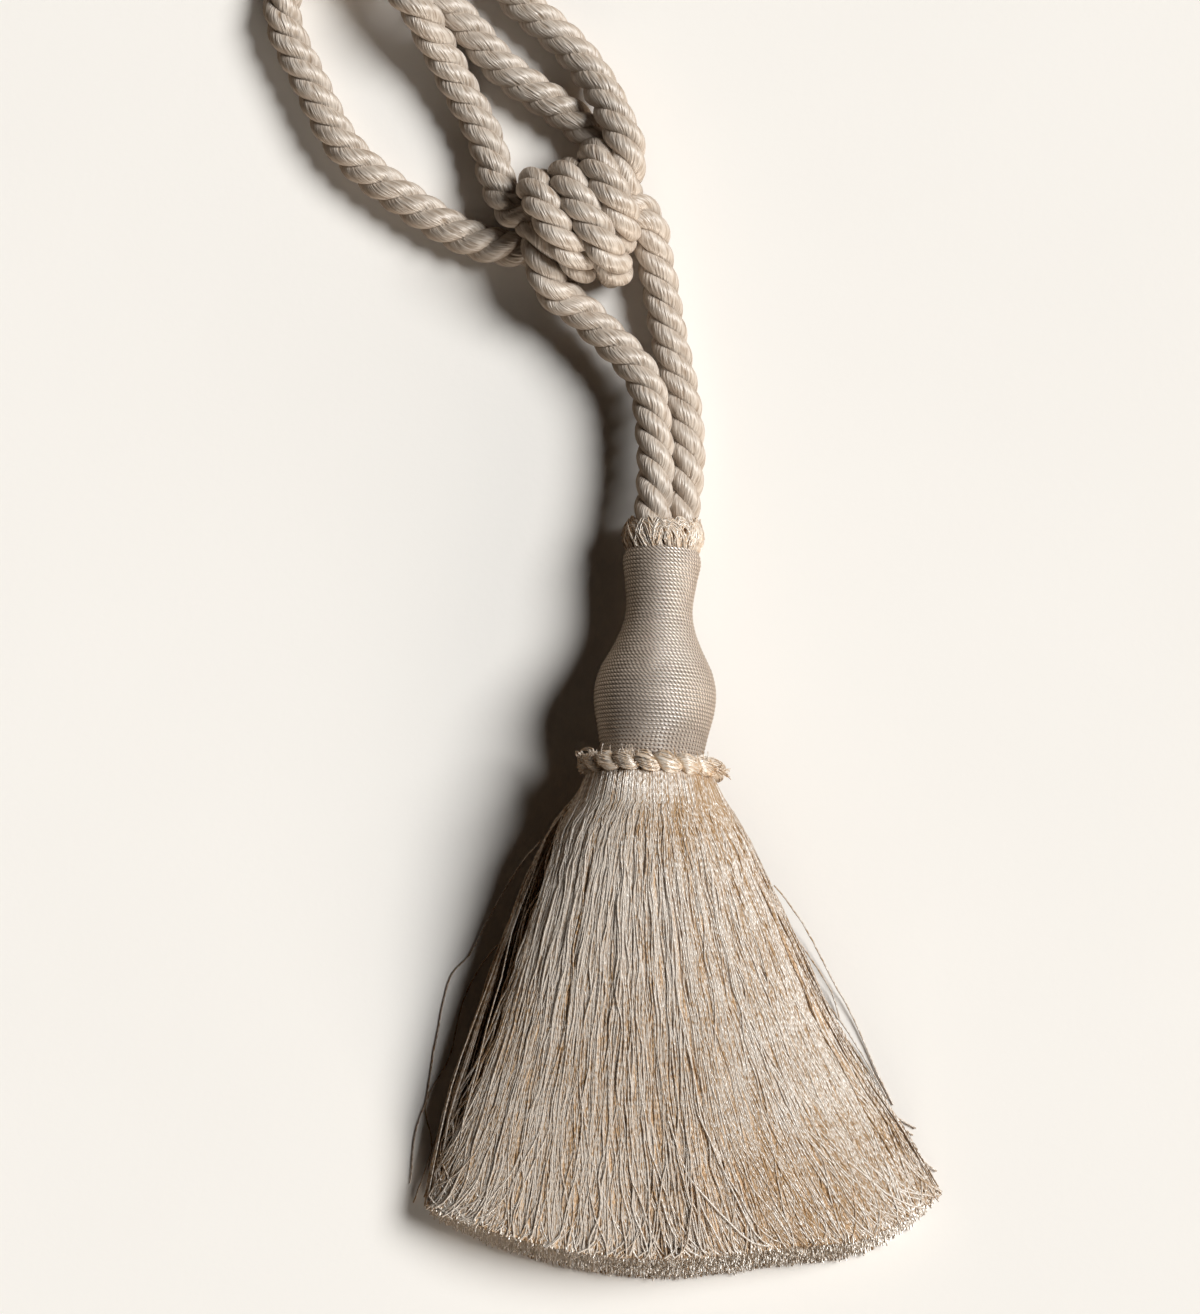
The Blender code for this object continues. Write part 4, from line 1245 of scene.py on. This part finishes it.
# %% Strays
SKIRT_STRAYS = (  # mm, from the skirt outwards and down
    ((-42.0, 17.2, 16.0), (-48.2, 9.3, 9.0), (-57.2, -6.1, 3.0), (-63.1, -17.7, 1.0),
     (-68.2, -23.7, 0.6), (-71.2, -34.0, 0.6), (-73.5, -46.0, 0.6), (-75.9, -61.6, 0.6),
     (-78.9, -70.8, 0.6), (-81.1, -86.7, 0.6)),
    ((-55.0, -14.0, 8.0), (-61.0, -22.0, 2.5), (-65.2, -30.5, 0.8), (-70.3, -48.9, 0.6),
     (-74.7, -56.8, 0.6), (-77.1, -63.8, 0.8), (-75.6, -72.9, 0.6), (-76.5, -82.0, 0.6)),
    ((-57.0, -26.0, 6.0), (-63.4, -43.1, 2.0), (-69.5, -62.0, 0.8), (-73.5, -76.5, 0.6),
     (-77.5, -90.2, 0.6)),
    ((-62.0, -40.0, 6.0), (-68.0, -56.0, 2.0), (-74.0, -74.0, 0.6), (-76.5, -82.0, 0.6),
     (-80.0, -92.0, 0.6)),
    ((27.5, 4.0, 12.0), (31.0, 0.0, 8.0), (38.5, -11.0, 4.0), (45.6, -25.0, 2.0),
     (52.7, -37.7, 1.0), (59.3, -53.2, 0.6), (64.1, -62.2, 0.6)),
    ((33.5, -11.0, 12.0), (39.0, -19.0, 6.0), (44.9, -29.0, 2.0), (47.4, -37.0, 0.8)),
    ((42.0, -29.0, 8.0), (50.0, -41.0, 2.0), (57.0, -52.0, 0.8), (61.8, -60.5, 0.6)),
    ((53.0, -56.0, 6.0), (60.0, -63.5, 2.0), (65.3, -66.9, 0.8), (70.1, -69.6, 0.6)),
    ((55.0, -61.0, 6.0), (64.1, -67.6, 1.5), (69.5, -71.4, 0.6)),
    ((61.0, -72.0, 5.0), (70.1, -77.7, 1.5), (77.0, -82.8, 0.6)),
    ((62.0, -76.0, 5.0), (71.9, -82.5, 1.5), (76.2, -88.5, 0.6)),
)


def make_strays():
    """The chosen lines, made a little crooked."""
    lines = [curve_through(stray, 1.2) for stray in SKIRT_STRAYS]
    rng = np.random.default_rng(31)
    for line in lines:
        line += np.cumsum(rng.normal(0, 0.05, line.shape), axis=0) * (1, 1, 0.2)
        line[:, 2] = np.maximum(line[:, 2], 0.4)
    tone = rng.uniform(0.3, 0.8, len(lines))
    threads("skirt_strays", lines, np.full(len(lines), 0.24), tone, 5, "yarn", "tassel_skirt")


make_strays()

# %% [markdown]
# ## Floss on the ring
# Glossy threads bulge over each lump of the ring, and a few stick out of it where the floss has
# frayed. They break up the smooth skin below them, which would look like dough on its own.

# %% Floss on the ring
THREADS_ON_LUMP = 24  # glossy threads over each lump of the ring


def make_frays():
    """Loops at the ring's left end, a frayed tuft at its right end, and stray ends between."""
    rng = np.random.default_rng(41)
    lines, radius = [], []
    for _ in range(9):
        t = np.linspace(0, 1, 16)
        angle = math.pi * rng.uniform(0.78, 0.98) + rng.normal(0, 0.05) * t
        size = rng.uniform(1.0, 3.2)
        out = RING_RADIUS + 2.2 + 0.6 * size * np.sin(np.pi * t) + rng.normal(0, 0.3)
        angle = angle + size * 0.05 * np.sin(2 * np.pi * t)
        lines.append(around_head(angle, out, 1.5 + size * np.sin(np.pi * t)))
        radius.append(0.11)
    for _ in range(46):
        t = np.linspace(0, 1, 10)
        angle = rng.uniform(0.05, 0.6) + rng.normal(0, 0.10) * t
        long = rng.uniform(1.0, 4.0)
        out = RING_RADIUS + 1.8 + long * 0.8 * t ** 1.2 + rng.normal(0, 0.2)
        lines.append(around_head(angle, out, 1.0 - long * rng.uniform(-0.3, 1.0) * t))
        radius.append(0.12)
    for _ in range(24):
        t = np.linspace(0, 1, 8)
        angle = math.pi * rng.uniform(0.2, 0.8) + rng.normal(0, 0.05) * t
        out = RING_RADIUS + 1.5 + 1.2 * np.sin(np.pi * t * 0.7)
        lines.append(around_head(angle, out, 3.0 + rng.uniform(0.5, 2.5) * t - 2.0 * (1 - t)))
        radius.append(0.10)
    tone = rng.uniform(0.0, 0.5, len(lines))
    threads("ring_frays", lines, np.array(radius), tone, 4, "floss", "skirt_ring", RUFF_YARN)


def make_ring_floss():
    """Glossy threads that bulge over each lump of the ring and dive between it and the next."""
    rng = np.random.default_rng(43)
    lines = []
    for lump in range(RING_LUMPS):
        for _ in range(THREADS_ON_LUMP):
            t = np.linspace(0.07, 0.93, 8) - 0.5
            side = math.pi * rng.uniform(-0.35, 0.75) + rng.uniform(0.2, 0.9) * t
            girth = RING_SIZE * (1 - RING_PINCH * (1 - np.cos(math.pi * t)) ** 1.5) + rng.uniform(0.0, 0.35)
            turn = (2 * math.pi * (lump + t) - RING_LEAN * np.sin(side)) / RING_LUMPS
            out = RING_RADIUS + girth * np.cos(side)
            lines.append(around_head(turn, out, RING_ALONG + girth * np.sin(side)))
    radius = rng.uniform(0.14, 0.22, len(lines))
    tone = rng.normal(-0.1, 0.15, len(lines))
    threads("ring_floss", lines, radius, tone, 3, "floss", "skirt_ring", RUFF_YARN)


make_ring_floss()
make_frays()
